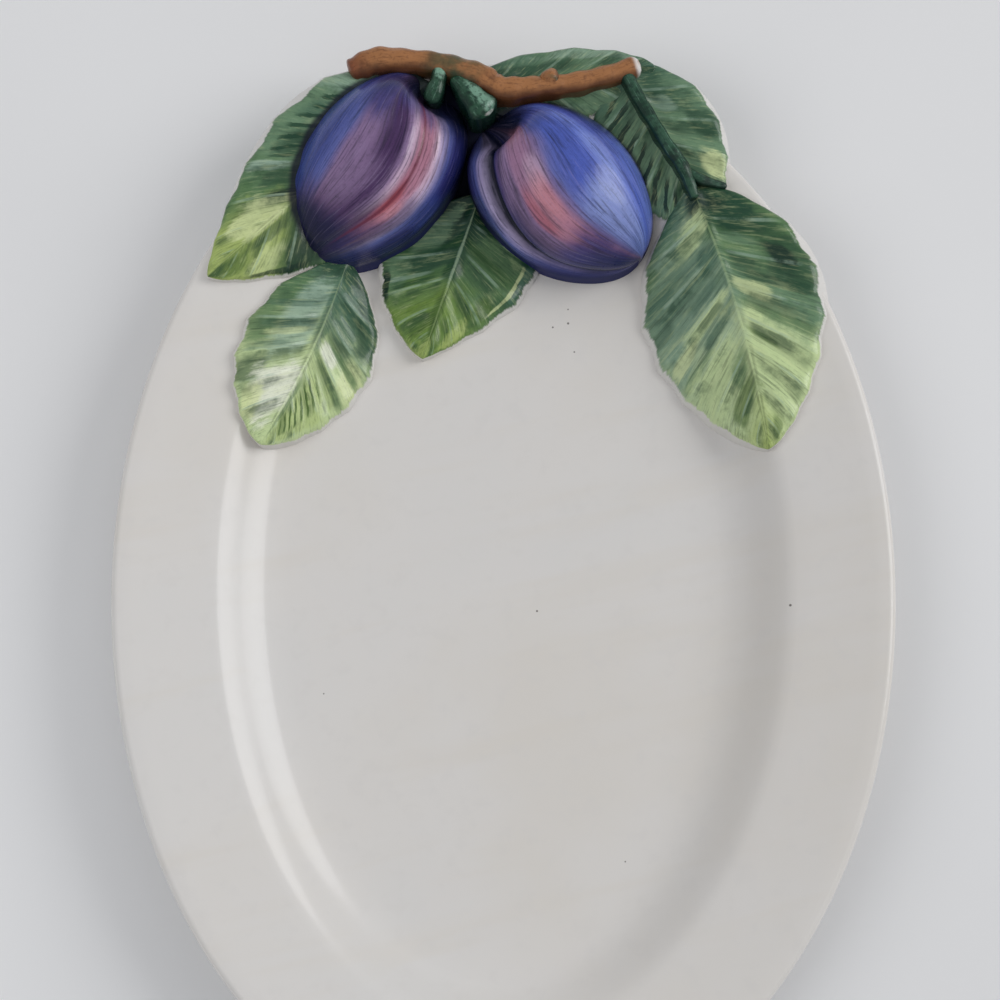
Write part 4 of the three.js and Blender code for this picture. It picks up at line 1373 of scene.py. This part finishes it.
class PLATTER_OT_casting(bpy.types.Operator):
    """Joins the dish and everything moulded on it into one casting, which stands for the CAD solid"""

    bl_idname = "platter.casting"
    bl_label = "Join the casting"

    def execute(self, context):
        dish = bpy.data.objects["dish"]
        relief = [bpy.data.objects[form.name] for form in (*LEAVES, *PLUMS, *STEMS)]
        for form in relief:
            union = dish.modifiers.new(form.name, "BOOLEAN")
            union.operation = "UNION"
            union.solver = "MANIFOLD"
            union.material_mode = "TRANSFER"
            union.object = form
        mesh = bpy.data.meshes.new_from_object(dish.evaluated_get(context.evaluated_depsgraph_get()))
        mesh.name = CASTING
        casting = bpy.data.objects.new(CASTING, mesh)
        context.scene.collection.objects.link(casting)
        for form in (dish, *relief):
            bpy.data.meshes.remove(form.data)
        self.clean(mesh)
        mesh.shade_smooth()
        mesh.set_sharp_from_angle(angle=math.radians(SHARP_ANGLE))
        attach(casting, BODY)
        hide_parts(NODE)
        return {"FINISHED"}

    @staticmethod
    def clean(mesh):
        """Cuts the large faces left by the joining into triangles."""
        bm = bmesh.new()
        bm.from_mesh(mesh)
        bmesh.ops.triangulate(bm, faces=[face for face in bm.faces if len(face.verts) > 4])
        bm.to_mesh(mesh)
        bm.free()


class PLATTER_OT_stage(bpy.types.Operator):
    """Makes the pale table, the soft lights and the camera"""

    bl_idname = "platter.stage"
    bl_label = "Stage"

    def execute(self, context):
        scene = context.scene
        self.make_table(scene)
        for lamp in LAMPS:
            self.make_light(scene, lamp)
        self.make_world(scene)
        self.make_camera(scene)
        scene.view_settings.view_transform = "Standard"
        return {"FINISHED"}

    @staticmethod
    def make_table(scene):
        """A pale table top under the platter."""
        bm = bmesh.new()
        bmesh.ops.create_grid(bm, x_segments=TABLE_PARTS, y_segments=TABLE_PARTS, size=TABLE_HALF)
        mesh = bpy.data.meshes.new("table")
        bm.to_mesh(mesh)
        bm.free()
        material, shade = new_material("table")
        cloud = shade.noise(object_place(shade), scale=3, detail=2)
        base = shade.flat(TABLE_PALE).over(TABLE_GREY, cloud.smooth(0.4, 0.65))
        surface = shade.node("ShaderNodeBsdfPrincipled", {}, {"Base Color": base, "Roughness": 0.5})
        shade.node("ShaderNodeOutputMaterial", {}, {"Surface": surface})
        mesh.materials.append(material)
        table = bpy.data.objects.new("table", mesh)
        scene.collection.objects.link(table)

    @staticmethod
    def make_light(scene, lamp):
        """A light that faces the platter."""
        data = bpy.data.lights.new(lamp.name, "AREA")
        data.shape = "DISK"
        data.size = lamp.width
        data.energy = lamp.power
        light = bpy.data.objects.new(lamp.name, data)
        light.location = lamp.place
        facing = Vector(lamp.target) - Vector(lamp.place)
        light.rotation_euler = facing.to_track_quat("-Z", "Y").to_euler()
        light.visible_glossy = lamp.is_mirrored
        scene.collection.objects.link(light)

    @staticmethod
    def make_world(scene):
        """Even light from all round."""
        world = bpy.data.worlds.new("studio")
        world.use_nodes = True
        sky = world.node_tree.nodes["Background"]
        sky.inputs["Color"].default_value = SKY
        sky.inputs["Strength"].default_value = SKY_LIGHT
        scene.world = world

    @staticmethod
    def make_camera(scene):
        """The photograph's camera, close above the platter and tilted a little from straight down."""
        sizes = scene.platter_sizes
        target = Vector(VIEW_TARGET) * MM + Vector((0, CAD_LOW.y + sizes.rim_half_length, 0))
        elevation = math.radians(VIEW_ELEVATION)
        away = Vector((0, -math.cos(elevation), math.sin(elevation)))
        data = bpy.data.cameras.new("camera")
        data.lens = LENS
        data.sensor_width = SENSOR
        camera = bpy.data.objects.new("camera", data)
        camera.location = target + away * VIEW_DISTANCE * MM
        camera.rotation_euler = (-away).to_track_quat("-Z", "Y").to_euler()
        scene.collection.objects.link(camera)
        scene.camera = camera


class PLATTER_PT_panel(bpy.types.Panel):
    """Steps, sizes and colours of the platter"""

    bl_idname = "PLATTER_PT_panel"
    bl_label = "Pottery platter"
    bl_space_type = "VIEW_3D"
    bl_region_type = "UI"
    bl_category = "Platter"

    def draw(self, context):
        for step in STEPS:
            self.layout.operator(step.bl_idname)
        for group in (context.scene.platter_sizes, context.scene.platter_colours):
            box = self.layout.box()
            for name in type(group).__annotations__:
                box.prop(group, name)


STEPS = (
    PLATTER_OT_dish,
    PLATTER_OT_leaves,
    PLATTER_OT_plums,
    PLATTER_OT_stems,
    PLATTER_OT_casting,
    PLATTER_OT_stage,
)
CLASSES = (PlatterSizes, PlatterColours, *STEPS, PLATTER_PT_panel)


def register():
    for part in CLASSES:
        bpy.utils.register_class(part)
    bpy.types.Scene.platter_sizes = PointerProperty(type=PlatterSizes)
    bpy.types.Scene.platter_colours = PointerProperty(type=PlatterColours)


def unregister():
    del bpy.types.Scene.platter_colours
    del bpy.types.Scene.platter_sizes
    for part in reversed(CLASSES):
        bpy.utils.unregister_class(part)


def main():
    """Builds the platter and its stage."""
    register()
    bpy.ops.platter.dish()
    bpy.ops.platter.leaves()
    bpy.ops.platter.plums()
    bpy.ops.platter.stems()
    bpy.ops.platter.casting()
    bpy.ops.platter.stage()


if __name__ == "__main__":
    main()
